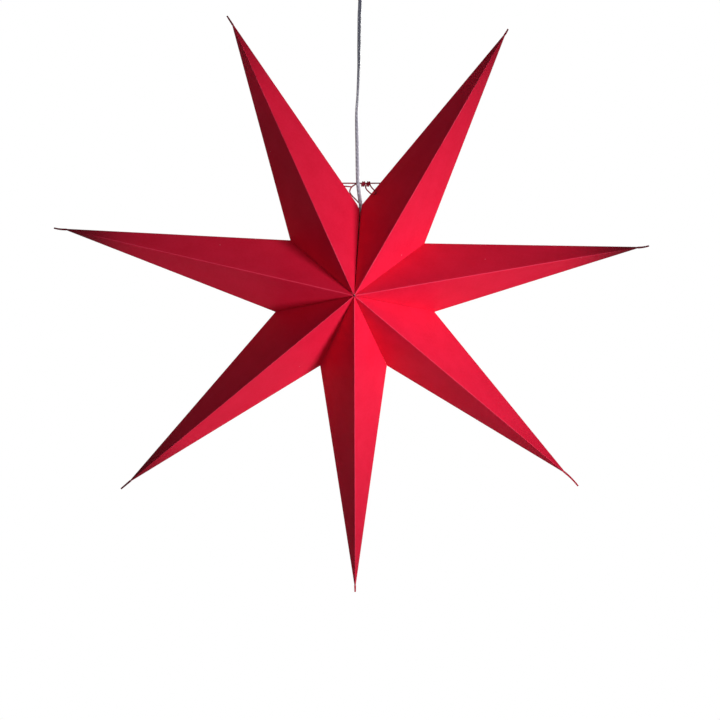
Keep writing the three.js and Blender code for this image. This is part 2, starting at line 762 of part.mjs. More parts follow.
function terminalScrew(x) {
  const foot = blockTop - BLOCK_HEIGHT + GAP;
  const from = at(x, -BLOCK_OFFSET, foot);
  const to = at(x, -BLOCK_OFFSET, foot + TERMINAL_SCREW_LENGTH);
  const slotLength = TERMINAL_SCREW_RADIUS * 2 + OVERRUN;
  const slot = box(slotLength, SLOT_WIDTH, SLOT_DEPTH * 2, x, -BLOCK_OFFSET, foot);
  return rod(from, to, TERMINAL_SCREW_RADIUS).subtract(slot);
}

function cordStop() {
  const bore = CORD_WIDTH / 2 + GAP;
  return turned(
    [
      [bore, stopBottom],
      [STOP_RADIUS, stopBottom],
      [STOP_RADIUS, stopBottom + STOP_HEIGHT],
      [bore, stopBottom + STOP_HEIGHT],
    ],
    0,
    SMALL_ROUND_STEPS,
  );
}

add("cord_tail", cordTail(), materials.flex);
add("cord_stop", cordStop(), materials.white);
add("tail_core_live", tailCore(-1), materials.brown);
add("tail_core_neutral", tailCore(1), materials.blue);
add("terminal_block", terminalBlock(), materials.ivory);
add("terminal_screw_live", terminalScrew(terminalX[0]), materials.brass);
add("terminal_screw_neutral", terminalScrew(terminalX[1]), materials.brass);

// Lampholder
const neckBottom = holderTop - NECK_HEIGHT;
const domeBottom = neckBottom - DOME_HEIGHT;
const coreBore = CORE_SPACING / 2 + CORE_RADIUS + GAP / 3;

function domeArc(radius, top, bottom, start) {
  const steps = 4;
  const arc = [];
  for (let i = 0; i <= steps; i += 1) {
    const angle = (Math.PI / 2) * (1 - i / steps);
    arc.push([start + (radius - start) * Math.cos(angle), bottom + (top - bottom) * Math.sin(angle)]);
  }
  return arc;
}

function holderCap() {
  const inner = CAP_RADIUS - HOLDER_WALL;
  const bottom = holderTop - CAP_HEIGHT;
  const outside = domeArc(CAP_RADIUS, neckBottom, domeBottom, NECK_RADIUS);
  const inside = domeArc(inner, neckBottom - HOLDER_WALL, domeBottom, coreBore);
  const shell = turned(
    [
      [coreBore, holderTop],
      [NECK_RADIUS, holderTop],
      ...outside,
      [CAP_RADIUS, bottom],
      [inner, bottom],
      ...inside.reverse(),
    ],
    lampX,
  );
  const gripZ = holderTop - NECK_HEIGHT / 2;
  const gripHole = rod(
    at(lampX, 0, gripZ),
    at(lampX, NECK_RADIUS + OVERRUN, gripZ),
    GRIP_SCREW_RADIUS + GAP,
  );
  return shell.subtract(gripHole);
}

function gripScrew() {
  const z = holderTop - NECK_HEIGHT / 2;
  const inner = coreBore + GAP;
  const from = at(lampX, inner, z);
  const to = at(lampX, inner + GRIP_SCREW_LENGTH, z);
  return rod(from, to, GRIP_SCREW_RADIUS);
}

function holderSkirt() {
  const inner = SKIRT_RADIUS - HOLDER_WALL;
  const bottom = skirtTop - SKIRT_HEIGHT;
  const bead = HOLDER_WALL / 2;
  return turned(
    [
      [inner, skirtTop],
      [SKIRT_RADIUS, skirtTop],
      [SKIRT_RADIUS, bottom + bead * 2],
      [SKIRT_RADIUS + bead, bottom + bead],
      [SKIRT_RADIUS + bead, bottom],
      [inner, bottom],
    ],
    lampX,
  );
}

function holderInsert() {
  const radius = CAP_RADIUS - HOLDER_WALL - GAP;
  const collarOuter = SHELL_INNER_RADIUS + SHELL_WALL + GAP + HOLDER_WALL;
  const collarInner = SHELL_INNER_RADIUS + SHELL_WALL + GAP;
  const body = turned(
    [
      [0, insertTop],
      [radius, insertTop],
      [radius, insertBottom],
      [collarOuter, insertBottom],
      [collarOuter, insertBottom - INSERT_COLLAR_HEIGHT],
      [collarInner, insertBottom - INSERT_COLLAR_HEIGHT],
      [collarInner, insertBottom],
      [0, insertBottom],
    ],
    lampX,
  );
  const wells = [-1, 1].map((side) =>
    rod(
      below(side * HOLDER_SCREW_OFFSET, insertTop - HOLDER_SCREW_LENGTH),
      below(side * HOLDER_SCREW_OFFSET, insertTop + OVERRUN),
      HOLDER_SCREW_RADIUS + GAP,
    ),
  );
  return without(body, wells);
}

function threadShell() {
  const top = insertBottom - GAP;
  const outer = SHELL_INNER_RADIUS + SHELL_WALL;
  return turned(
    [
      [SHELL_INNER_RADIUS, top],
      [outer, top],
      [outer, top - SHELL_LENGTH],
      [SHELL_INNER_RADIUS, top - SHELL_LENGTH],
    ],
    lampX,
  );
}

// A strip bent into a springy step, standing under the insert.
function centreContact() {
  const top = insertBottom - GAP;
  const half = TONGUE_WIDTH / 2;
  const t = TONGUE_THICKNESS;
  const shape = new THREE.Shape();
  shape.moveTo(-half * 2, 0);
  shape.lineTo(-half, 0);
  shape.lineTo(half, -TONGUE_DROP + t);
  shape.lineTo(half * 2, -TONGUE_DROP + t);
  shape.lineTo(half * 2, -TONGUE_DROP);
  shape.lineTo(half - t / 2, -TONGUE_DROP);
  shape.lineTo(-half - t / 2, -t);
  shape.lineTo(-half * 2, -t);
  shape.closePath();
  const strip = new THREE.ExtrudeGeometry(shape, { depth: TONGUE_WIDTH, bevelEnabled: false });
  strip.rotateX(Math.PI / 2);
  strip.translate(lampX - half, TONGUE_WIDTH / 2, top);
  return solid(strip);
}

function holderScrew(side) {
  const x = side * HOLDER_SCREW_OFFSET;
  const foot = insertTop - HOLDER_SCREW_LENGTH + GAP;
  const top = foot + HOLDER_SCREW_LENGTH;
  const slotLength = HOLDER_SCREW_RADIUS * 2 + OVERRUN;
  const slot = box(slotLength, SLOT_WIDTH, SLOT_DEPTH * 2, lampX + x, 0, top);
  return rod(below(x, foot), below(x, top), HOLDER_SCREW_RADIUS).subtract(slot);
}

function holderCore(side) {
  const x = (side * CORE_SPACING) / 2;
  const endX = side * HOLDER_SCREW_OFFSET;
  const stop = insertTop + GAP * 3;
  const steps = 8;
  const places = [
    below(x, holderTop),
    below(x, neckBottom),
    below(x, neckBottom - HOLDER_WALL * 2),
    below(endX, stop + CORE_RADIUS * 6),
    below(endX, stop),
  ];
  return wire(places, CORE_RADIUS, steps);
}

add("holder_cap", holderCap(), materials.white);
add("grip_screw", gripScrew(), materials.white);
add("holder_skirt", holderSkirt(), materials.white);
add("holder_insert", holderInsert(), materials.ivory);
add("thread_shell", threadShell(), materials.brass);
add("centre_contact", centreContact(), materials.brass);
add("holder_screw_live", holderScrew(-1), materials.brass);
add("holder_screw_neutral", holderScrew(1), materials.brass);
add("holder_core_live", holderCore(-1), materials.brown);
add("holder_core_neutral", holderCore(1), materials.blue);

// Lamp
function lampCap() {
  const root = LAMP_CAP_RADIUS - THREAD_DEPTH;
  const inner = root - LAMP_CAP_WALL;
  const profile = [
    [inner, capBottom],
    [LAMP_CAP_RADIUS, capBottom],
    [root, capBottom + THREAD_PITCH / 2],
  ];
  for (let i = 1; i <= THREAD_RINGS; i += 1) {
    const z = capBottom + THREAD_PITCH * i;
    profile.push([root, z], [LAMP_CAP_RADIUS, z + THREAD_PITCH / 4], [root, z + THREAD_PITCH / 2]);
  }
  const hole = CONTACT_RADIUS + GAP;
  profile.push(
    [root, capTop - LAMP_CAP_WALL * 3],
    [root - LAMP_CAP_WALL * 3, capTop],
    [hole, capTop],
    [hole, capTop - LAMP_CAP_WALL],
    [inner, capTop - LAMP_CAP_WALL * 4],
  );
  return turned(profile, lampX, SMALL_ROUND_STEPS);
}

function lampInsulator() {
  const foot = capTop + GAP;
  const radius = LAMP_CAP_RADIUS - THREAD_DEPTH - LAMP_CAP_WALL * 3;
  return turned(
    [
      [0, foot],
      [radius, foot],
      [CONTACT_RADIUS, foot + INSULATOR_HEIGHT],
      [0, foot + INSULATOR_HEIGHT],
    ],
    lampX,
    SMALL_ROUND_STEPS,
  );
}

function lampContact() {
  const foot = contactTop - CONTACT_HEIGHT;
  const [radiusShare, heightShare] = CONTACT_SHOULDER_SHARES;
  return turned(
    [
      [0, foot],
      [CONTACT_RADIUS, foot],
      [CONTACT_RADIUS * radiusShare, foot + CONTACT_HEIGHT * heightShare],
      [0, contactTop],
    ],
    lampX,
    SMALL_ROUND_STEPS,
  );
}

const lampNeck = LAMP_CAP_RADIUS - THREAD_DEPTH - LAMP_CAP_WALL - GAP;
const neckInCap = capBottom + THREAD_PITCH;

function lampGlass() {
  const neckEnd = capBottom - GAP;
  const outer = [[lampNeck, neckInCap], [lampNeck, neckEnd]];
  const inner = [[lampNeck - GLASS_WALL, neckInCap], [lampNeck - GLASS_WALL, neckEnd]];
  const steps = 10;
  const from = Math.acos((lampNeck + GLASS_WALL) / LAMP_RADIUS);
  for (let i = 0; i <= steps; i += 1) {
    const angle = from - ((from + Math.PI / 2) * i) / steps;
    const small = LAMP_RADIUS - GLASS_WALL;
    outer.push([LAMP_RADIUS * Math.cos(angle), glassCentre + LAMP_RADIUS * Math.sin(angle)]);
    inner.push([small * Math.cos(angle), glassCentre + small * Math.sin(angle)]);
  }
  outer[outer.length - 1][0] = 0;
  inner[inner.length - 1][0] = 0;
  const across = [...inner.reverse(), ...outer];
  return turned(across, lampX);
}

function lampStem() {
  const top = neckInCap - GAP;
  const foot = top - STEM_GLASS_LENGTH;
  const flare = lampNeck - GLASS_WALL - GAP;
  return turned(
    [
      [0, top],
      [flare, top],
      [STEM_GLASS_RADIUS, top - STEM_GLASS_LENGTH / 3],
      [STEM_GLASS_RADIUS, foot + STEM_GLASS_RADIUS / 2],
      [STEM_GLASS_RADIUS / 2, foot],
      [0, foot],
    ],
    lampX,
    SMALL_ROUND_STEPS,
  );
}

function filament() {
  const stemFoot = neckInCap - GAP - STEM_GLASS_LENGTH;
  const beside = STEM_GLASS_RADIUS + GAP + FILAMENT_RADIUS;
  const low = stemFoot - FILAMENT_DROP;
  const zig = FILAMENT_DROP / 3;
  const span = FILAMENT_SPAN / 2;
  const steps = 30;
  const half = [
    at(beside, 0, stemFoot + STEM_GLASS_LENGTH / 3),
    at(beside + GAP * 2, 0, stemFoot),
    at(span, 0, low + zig),
    at(span / 2, 0, low),
    at(span / 4, 0, low + zig),
  ];
  const other = half.map((p) => at(-p.x, p.y, p.z)).reverse();
  const places = [...half, at(0, 0, low), ...other].map((p) => p.add(at(lampX, 0, 0)));
  return wire(places, FILAMENT_RADIUS, steps);
}

add("lamp_glass", lampGlass(), materials.glass);
add("lamp_cap", lampCap(), materials.brass);
add("lamp_insulator", lampInsulator(), materials.black);
add("lamp_contact", lampContact(), materials.steel);
add("lamp_stem", lampStem(), materials.glass);
add("filament", filament(), materials.steel);

export default lantern;
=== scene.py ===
# %% [markdown]
# # A seven-pointed card star lantern
# The lantern is folded from seven pieces of dyed card, which are glued to each other
# along their valleys. It hangs by a clear flat cord. This lesson dresses the plain solids
# of the CAD model: first the camera and the cord, then the card, the wire clip, the
# ceiling fitting and the lamp, each with a material that follows how it is really made.

import math
from collections import Counter

import bpy
from mathutils import Matrix, Vector, noise


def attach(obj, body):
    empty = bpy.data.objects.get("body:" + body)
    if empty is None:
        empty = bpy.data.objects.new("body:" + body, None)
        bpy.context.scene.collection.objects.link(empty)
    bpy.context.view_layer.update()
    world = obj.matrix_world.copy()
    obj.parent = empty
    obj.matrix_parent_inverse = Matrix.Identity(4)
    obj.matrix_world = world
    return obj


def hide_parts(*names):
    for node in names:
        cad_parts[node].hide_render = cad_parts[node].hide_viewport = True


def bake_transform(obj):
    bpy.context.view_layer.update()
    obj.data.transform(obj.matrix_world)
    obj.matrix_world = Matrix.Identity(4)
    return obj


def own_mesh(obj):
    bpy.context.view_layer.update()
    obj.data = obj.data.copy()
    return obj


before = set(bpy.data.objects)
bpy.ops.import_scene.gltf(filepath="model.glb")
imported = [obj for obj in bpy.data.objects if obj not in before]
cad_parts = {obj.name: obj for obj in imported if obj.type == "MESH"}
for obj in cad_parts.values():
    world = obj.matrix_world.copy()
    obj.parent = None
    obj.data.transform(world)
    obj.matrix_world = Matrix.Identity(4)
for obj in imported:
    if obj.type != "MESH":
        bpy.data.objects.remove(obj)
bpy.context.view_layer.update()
bpy.context.scene.view_settings.view_transform = "Standard"

MM = 0.001


def mm(x, y, z):
    return Vector((x, y, z)) * MM


def deselect():
    if bpy.context.object is not None and bpy.context.object.mode != "OBJECT":
        bpy.ops.object.mode_set(mode="OBJECT")
    bpy.ops.object.select_all(action="DESELECT")


def activate(piece):
    deselect()
    piece.select_set(True)
    bpy.context.view_layer.objects.active = piece
    return piece


def smoothed(piece, angle_deg):
    activate(piece)
    bpy.ops.object.shade_smooth_by_angle(angle=math.radians(angle_deg))
    return piece


def named(name):
    piece = bpy.context.object
    piece.name = name
    piece.data.name = name
    return piece


# %% [markdown]
# ## Main places
# The star's centre, the cord outlet's ball and the lamp's axis are the places that the
# other pieces refer to. They come from the same sizes as the CAD source, so that what is
# modelled here lies on the solids that it replaces.

# %% Places shared by the pieces
BALL = mm(0, 0, -51.5)  # centre of the cord outlet's ball
STAR = mm(-4.9, 0, -376.5)  # centre of the star
TIP_RADIUS = 300 * MM
VALLEY_RADIUS = 83 * MM
HALF_DEPTH = 85 * MM
GAP = 0.3 * MM

# %% [markdown]
# ## Camera
# The photograph is taken from 2 m away, almost square on, from slightly above the star's
# middle. A 100 mm lens on a 36 mm sensor then shows the star as large as it is there. The
# view is turned back by the star's own small turn, so that the star stays upright in its
# frame.

# %% Camera at the photograph's viewing angle
CAMERA_DISTANCE = 2.0
CAMERA_YAW = math.radians(1.103)
CAMERA_PITCH = math.radians(4.378)
CAMERA_ASIDE = -7.05 * MM
CAMERA_ABOVE = 68.08 * MM
CAMERA_LENS = 100
CAMERA_SENSOR = 36

turn = Matrix.Rotation(CAMERA_PITCH, 3, "X") @ Matrix.Rotation(CAMERA_YAW, 3, "Z")
towards_star = turn.inverted()


def add_camera():
    data = bpy.data.cameras.new("camera")
    data.lens = CAMERA_LENS
    data.sensor_width = CAMERA_SENSOR
    data.clip_start = 0.05
    data.clip_end = 50
    camera = bpy.data.objects.new("camera", data)
    bpy.context.scene.collection.objects.link(camera)
    seen = Vector((-CAMERA_ASIDE, -CAMERA_DISTANCE, -CAMERA_ABOVE))
    look = towards_star @ Vector((0, 1, 0))
    up = towards_star @ Vector((0, 0, 1))
    right = look.cross(up)
    camera.matrix_world = Matrix.Translation(STAR + towards_star @ seen) @ Matrix(
        (right, up, -look)
    ).transposed().to_4x4()
    bpy.context.scene.camera = camera
    return camera


camera = add_camera()
print("camera at, mm:", [round(v / MM) for v in camera.location])

# %% [markdown]
# ## Materials
# Every finish is a small node tree on the Principled shader. Two helpers are enough: one
# turns a colour as written on a paint chart into the linear colour that the renderer works
# with, and one adds a node with its settings and links.


# %% Colour and node helpers
def linear(hex_colour):
    def channel(value):
        value /= 255
        return value / 12.92 if value <= 0.04045 else ((value + 0.055) / 1.055) ** 2.4

    parts = [int(hex_colour[i : i + 2], 16) for i in (0, 2, 4)]
    return (*[channel(part) for part in parts], 1.0)


def add_node(material, kind, settings=None, inputs=None):
    node = material.node_tree.nodes.new(kind)
    for name, value in (settings or {}).items():
        setattr(node, name, value)
    for name, value in (inputs or {}).items():
        if isinstance(value, bpy.types.NodeSocket):
            material.node_tree.links.new(value, node.inputs[name])
        else:
            node.inputs[name].default_value = value
    return node


def new_material(name, shader_values):
    material = bpy.data.materials.new(name)
    material.use_nodes = True
    shader = material.node_tree.nodes["Principled BSDF"]
    for socket, value in shader_values.items():
        shader.inputs[socket].default_value = value
    return material, shader


def object_place(material):
    return add_node(material, "ShaderNodeTexCoord").outputs["Object"]


def noise_at(material, size, detail=3.0, vector=None):
    place = vector or object_place(material)
    inputs = {"Vector": place, "Scale": 1 / size, "Detail": detail}
    return add_node(material, "ShaderNodeTexNoise", inputs=inputs).outputs["Fac"]


def mixed(material, factor, first, second):
    inputs = {"Factor": factor, "A": first, "B": second}
    node = add_node(material, "ShaderNodeMix", {"data_type": "RGBA"})
    link = material.node_tree.links.new
    sockets = {"Factor": node.inputs[0], "A": node.inputs[6], "B": node.inputs[7]}
    for name, socket in sockets.items():
        if isinstance(inputs[name], bpy.types.NodeSocket):
            link(inputs[name], socket)
        else:
            socket.default_value = inputs[name]
    return node.outputs[2]


def ranged(material, value, low, high, to_low=0.0, to_high=1.0):
    inputs = {"Value": value, "From Min": low, "From Max": high, "To Min": to_low, "To Max": to_high}
    return add_node(material, "ShaderNodeMapRange", inputs=inputs).outputs["Result"]


def bumped(material, shader, height, distance, strength=1.0):
    inputs = {"Height": height, "Distance": distance, "Strength": strength}
    node = add_node(material, "ShaderNodeBump", inputs=inputs)
    material.node_tree.links.new(node.outputs["Normal"], shader.inputs["Normal"])


def painted(piece, material):
    piece.data.materials.clear()
    piece.data.materials.append(material)
    return piece


# %% [markdown]
# ## The cord
# Small lamp cord is two stranded copper cores side by side in clear plastic, so it is flat
# with a groove down the middle. It leaves the ceiling outlet, hangs straight with the
# little waves that it kept from its coil, and goes into the star's open seam. A tube with a
# figure-of-eight section is swept along its route, and turned a little on the way, so that
# it shows its edge where the photograph does.

# %% Cord: its route, in mm below the ball's centre, is the CAD source's own
CORD_WIDTH = 3.8 * MM
CORD_THICKNESS = 2.4 * MM
CORD_ROUTE = [
    (0, 0, -0.3),
    (0.4, 0, -9),
    (1.1, 0, -20),
    (1.8, 0, -29),
    (2.1, 0, -36),
    (1.9, 0, -44),
    (1.5, 0, -52),
    (1.2, 0, -75.5),
    (0.9, 0, -99),
    (0.4, 0, -114.5),
    (-0.3, 0, -130.5),
    (-1.3, 0, -146),
    (-1.1, 0, -162),
    (-0.6, 0, -186),
    (-0.2, 0, -209.5),
    (0.4, 0, -219.5),
    (1.3, 0, -227.5),
    (2.2, 0, -233.5),
    (2.8, 0, -239),
    (2.6, 0, -244.5),
    (2.5, 0, -250),
    (2.5, 0, -255.7),
]
CORD_STEPS = 10  # rings between two points of the route
CORD_SECTION_STEPS = 24
GROOVE_DEPTH = 0.34  # as a share of the cord's thickness
GROOVE_WIDTH = 0.3
SWEPT_SMOOTH_DEG = 40
# How far the flat side is turned from the viewer, by the share of the drop.
CORD_TURN_SHARES = [(0, 0), (0.12, 20), (0.3, 30), (0.42, 62), (0.52, 70), (0.66, 30), (0.8, 15), (1, 0)]


def smooth_route(points, steps):
    places = [points[0], *points, points[-1]]
    smooth = []
    for i in range(1, len(places) - 2):
        before, start, end, after = places[i - 1 : i + 3]
        for step in range(steps):
            t = step / steps
            along = (end - before) * t
            bend = (before * 2 - start * 5 + end * 4 - after) * t * t
            last = (start * 3 - before - end * 3 + after) * t * t * t
            smooth.append((start * 2 + along + bend + last) / 2)
    smooth.append(places[-2])
    return smooth


def share_value(shares, share):
    for (low, a), (high, b) in zip(shares, shares[1:]):
        if share <= high:
            t = (share - low) / (high - low)
            return a + (b - a) * t * t * (3 - 2 * t)
    return shares[-1][1]


# Two round cores whose skins meet in a groove.
def figure_eight(width, thickness, steps):
    section = []
    for i in range(steps):
        angle = 2 * math.pi * i / steps
        groove = 1 - GROOVE_DEPTH * math.exp(-((math.cos(angle) / GROOVE_WIDTH) ** 2))
        section.append((width / 2 * math.cos(angle), thickness / 2 * math.sin(angle) * groove))
    return section


def swept_mesh(name, path, section_at, up):
    verts = []
    for i, place in enumerate(path):
        ahead = path[min(i + 1, len(path) - 1)]
        behind = path[max(i - 1, 0)]
        along = (ahead - behind).normalized()
        side = along.cross(up).normalized()
        over = side.cross(along)
        section = section_at(i)
        verts.extend(place + side * a + over * b for a, b in section)
    sides = len(section)
    faces = [tuple(range(sides))[::-1], tuple(range(len(verts) - sides, len(verts)))]
    for ring in range(len(path) - 1):
        for k in range(sides):
            a, b = ring * sides + k, ring * sides + (k + 1) % sides
            faces.append((a, b, b + sides, a + sides))
    mesh = bpy.data.meshes.new(name)
    mesh.from_pydata(verts, [], faces)
    piece = bpy.data.objects.new(name, mesh)
    bpy.context.scene.collection.objects.link(piece)
    activate(piece)
    bpy.ops.object.mode_set(mode="EDIT")
    bpy.ops.mesh.select_all(action="SELECT")
    bpy.ops.mesh.normals_make_consistent(inside=False)
    bpy.ops.object.mode_set(mode="OBJECT")
    return smoothed(piece, SWEPT_SMOOTH_DEG)


# Clear PVC over two stranded cores, whose lay shows as fine slanting lines. One lobe is
# painted darker as shade, and the upper part is painted dark, as the dark surroundings
# that the clear plastic shows there.
CORD_CLEAR_BELOW = -190 * MM
CORD_DARK_ABOVE = -150 * MM


def cord_material():
    material, shader = new_material(
        "clear_pvc_flex",
        {"Roughness": 0.22, "IOR": 1.53, "Coat Weight": 0.4, "Coat Roughness": 0.08},
    )
    lay = add_node(
        material,
        "ShaderNodeTexWave",
        {"wave_type": "BANDS", "bands_direction": "DIAGONAL"},
        {"Vector": object_place(material), "Scale": 160, "Distortion": 1.5, "Detail": 2},
    )
    # Painted shade: the lobe turned from the lamp is coloured darker, 60606E.
    core = add_node(material, "ShaderNodeAttribute", {"attribute_name": "painted_shade_lobe"}).outputs["Fac"]
    plain = mixed(material, core, linear("BCBCCA"), linear("60606E"))
    strands = mixed(material, lay.outputs["Fac"], linear("9C9CAA"), plain)
    cloud = noise_at(material, 9 * MM)
    shade = ranged(material, cloud, 0.3, 0.7, 0.0, 0.7)
    colour = mixed(material, shade, strands, plain)
    place = add_node(material, "ShaderNodeSeparateXYZ", inputs={"Vector": object_place(material)})
    # Painted shade: above CORD_DARK_ABOVE the cord is coloured dark, 2A2C40, as the dark surroundings seen
    # through the clear plastic.
    painted_dark_top = ranged(material, place.outputs["Z"], CORD_CLEAR_BELOW, CORD_DARK_ABOVE)
    colour = mixed(material, painted_dark_top, colour, linear("2A2C40"))
    material.node_tree.links.new(colour, shader.inputs["Base Color"])
    bumped(material, shader, lay.outputs["Fac"], 0.05 * MM)
    return material


def make_cord():
    points = [BALL + mm(*point) for point in CORD_ROUTE]
    path = smooth_route(points, CORD_STEPS)
    top, bottom = path[0].z, path[-1].z
    flat = figure_eight(CORD_WIDTH, CORD_THICKNESS, CORD_SECTION_STEPS)

    def section_at(i):
        angle = math.radians(share_value(CORD_TURN_SHARES, (top - path[i].z) / (top - bottom)))
        c, s = math.cos(angle), math.sin(angle)
        return [(a * c - b * s, a * s + b * c) for a, b in flat]

    piece = swept_mesh("hanging_cord", path, section_at, Vector((0, -1, 0)))
    # Marks the lobe that carries the painted shade.
    attribute = piece.data.attributes.new("painted_shade_lobe", "FLOAT", "POINT")
    across = [1.0 if a > 0 else 0.0 for a, _ in flat]
    attribute.data.foreach_set("value", across * len(path))
    painted(piece, flex)
    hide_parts("cord")
    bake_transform(piece)
    return piece


flex = cord_material()
make_cord()

# %% [markdown]
# ## The card
# The real star is cut from dyed card of about 0.4 mm. Each of its seven points is folded
# along four creases into a hollow spike, and a glue strip along each valley holds it to
# the next one. A four-sided cone is a good start: its base is moved to the two peaks and
# the two valleys, and its apex to the tip. Subdividing it gives panels that can take the
# slight waves of real card, the base edges are extruded inwards into the glue strips, and
# Solidify and Bevel give the card its thickness and its soft creases.

# %% The star's corners, as shares of its two radii
TIP_DEG = [114.5, 59.45, 8.8, -40.8, -89.6, -139.7, -192.1]
TIP_SHARES = [1, 1.009, 1, 1.001, 1.012, 1.015, 1.014]
VALLEY_DEG = [85.5, 34.1, -13.8, -65.3, -114, -165.6, -219.55]
VALLEY_SHARES = [1.018, 1.048, 1.019, 0.986, 0.98, 0.97, 0.981]
SEAM_DEG = 84.1  # the second point's edge of the open seam
SEAM_SHARE = 1.058
TAIL_LENGTHS_MM = [10.5, 5.5, 11.5, 20.5, 3, 11.5, 12.5]
TAIL_BEYOND_MM = [0, 0, 0, 0, 0, 1.4, 0]
TAIL_ROOT = 6 * MM
TIP_ASIDE_MM = [-1.5, 0, 0, 1.6, 0, 0, -1.2]  # how far a spike's end lies beside its middle line
# The next three give painted shade: how much darker each spike's end and its tail are coloured, and over what
# length, where the light falls off.
TIP_SHADE = [0.7, 0.6, 1, 0.15, 0, 0.8, 1]  # how much darker each spike's end is
TAIL_SHADE = [1, 0.85, 1, 0.4, 0.2, 1, 1]
TIP_SHADE_LENGTH = 90 * MM
PEAK_HOLE = 0.8 * MM
CARD = 0.4 * MM
GLUE_STRIP = 8 * MM
SEAM_STRIP = 4 * MM
SEAM_LEAN_DEG = 0.5
SEAM_SHIFT = 0.12 * MM
VALLEY_GAP = 0.04 * MM  # the glued strips of two neighbours all but touch
CREASE_WIDTH = 0.8 * MM
CREASE_DEG = 25  # sharper folds than this are rounded
CARD_SMOOTH_DEG = 28


def polar(radius, degrees):
    angle = math.radians(degrees)
    return STAR + Vector((radius * math.cos(angle), 0, radius * math.sin(angle)))


def point_corners(index):
    before = (index - 1) % len(VALLEY_DEG)
    left_deg = VALLEY_DEG[before] + (360 if index == 0 else 0)
    left_share = VALLEY_SHARES[before]
    if index == 1:
        left_deg, left_share = SEAM_DEG, SEAM_SHARE
    tip_radius = TIP_RADIUS * TIP_SHARES[index]
    beside = math.degrees(VALLEY_GAP / 2 / VALLEY_RADIUS)
    out = (polar(1, TIP_DEG[index]) - STAR).normalized()
    side = Vector((-out.z, 0, out.x))
    tail = TAIL_LENGTHS_MM[index] * MM
    spike_end = tip_radius - tail + min(TAIL_ROOT, tail * 0.8)
    return {
        "tip": polar(spike_end, TIP_DEG[index]) + side * TIP_ASIDE_MM[index] * MM,
        "end": polar(tip_radius + TAIL_BEYOND_MM[index] * MM, TIP_DEG[index]),
        "left": polar(VALLEY_RADIUS * left_share, left_deg - beside),
        "right": polar(VALLEY_RADIUS * VALLEY_SHARES[index], VALLEY_DEG[index] + beside),
        "out": out,
        "side": side,
    }


# %% A cone becomes four folded panels
PANEL_CUTS = 27
PEAK_INSET = 0.35 * MM  # the neighbours' ridges stay this far from the star's axis


def folded_panels(corners):
    deselect()
    bpy.ops.mesh.primitive_cone_add(vertices=4, radius1=1, radius2=0, depth=1, end_fill_type="NOTHING")
    piece = bpy.context.object
    front = STAR + Vector((0, -HALF_DEPTH, 0)) + corners["out"] * PEAK_INSET
    back = STAR + Vector((0, HALF_DEPTH, 0)) + corners["out"] * PEAK_INSET
    around = [corners["left"], front, corners["right"], back]
    verts = sorted(piece.data.vertices, key=lambda v: v.co.z)
    base = sorted(verts[:4], key=lambda v: math.atan2(v.co.y, v.co.x))
    for vert, place in zip(base, around):
        vert.co = place
    verts[4].co = corners["tip"]
    bpy.ops.object.mode_set(mode="EDIT")
    bpy.ops.mesh.select_all(action="SELECT")
    bpy.ops.mesh.subdivide(number_cuts=PANEL_CUTS)
    bpy.ops.mesh.normals_make_consistent(inside=False)
    bpy.ops.object.mode_set(mode="OBJECT")
    middle = sum(around, corners["tip"]) / (len(around) + 1)
    outward = sum((p.center - middle).dot(p.normal) for p in piece.data.polygons)
    if outward < 0:
        piece.data.flip_normals()
    return piece, front, back


# %% Glue strips: the base edges of one side, extruded towards the star's axis
def line_distance(place, line):
    start, end = line
    along = end - start
    t = max(0.0, min(1.0, (place - start).dot(along) / along.length_squared))
    return (place - start - along * t).length


def select_side(piece, lines):
    bpy.ops.object.mode_set(mode="OBJECT")
    mesh = piece.data
    for part in (mesh.vertices, mesh.edges, mesh.polygons):
        part.foreach_set("select", [False] * len(part))
    uses = Counter(key for polygon in mesh.polygons for key in polygon.edge_keys)
    count = 0
    for edge in mesh.edges:
        middle = (mesh.vertices[edge.vertices[0]].co + mesh.vertices[edge.vertices[1]].co) / 2
        near = min(line_distance(middle, line) for line in lines) < CREASE_WIDTH * 1.5
        edge.select = near and uses[edge.key] == 1
        count += edge.select
    bpy.ops.object.mode_set(mode="EDIT")
    bpy.ops.mesh.select_mode(type="EDGE")
    return count


# The two strips of the open seam lean towards each other until they nearly touch.
def add_glue_strip(piece, valley, lines, strip, lean_deg):
    count = select_side(piece, lines)
    radius = (valley - STAR).length
    share = 1 - strip * math.hypot(radius, HALF_DEPTH) / (radius * HALF_DEPTH)
    bpy.ops.mesh.extrude_edges_move(TRANSFORM_OT_translate={"value": (0, 0, 0)})
    bpy.ops.transform.resize(value=(share, share, share), center_override=STAR)
    if lean_deg:
        bpy.ops.transform.rotate(value=math.radians(lean_deg), orient_axis="Y", center_override=STAR)
        bpy.ops.transform.translate(value=(math.copysign(SEAM_SHIFT, -lean_deg), 0, 0))
    bpy.ops.object.mode_set(mode="OBJECT")
    return count


def cut_peak_hole(out):
    bpy.ops.object.mode_set(mode="EDIT")
    bpy.ops.mesh.select_mode(type="VERT")
    bpy.ops.mesh.select_all(action="SELECT")
    bpy.ops.mesh.bisect(plane_co=STAR + out * PEAK_HOLE, plane_no=out, clear_inner=True)
    bpy.ops.object.mode_set(mode="OBJECT")


# %% Waves: card never lies quite flat between its folds
WAVE_HEIGHT = 0.55 * MM
WAVE_LENGTH = 70 * MM
RIPPLE_HEIGHT = 0.16 * MM
RIPPLE_LENGTH = 16 * MM
STILL_NEAR_FOLD = 14 * MM
WAVE_SEED_STEP = 3.7  # so that no two points have the same waves


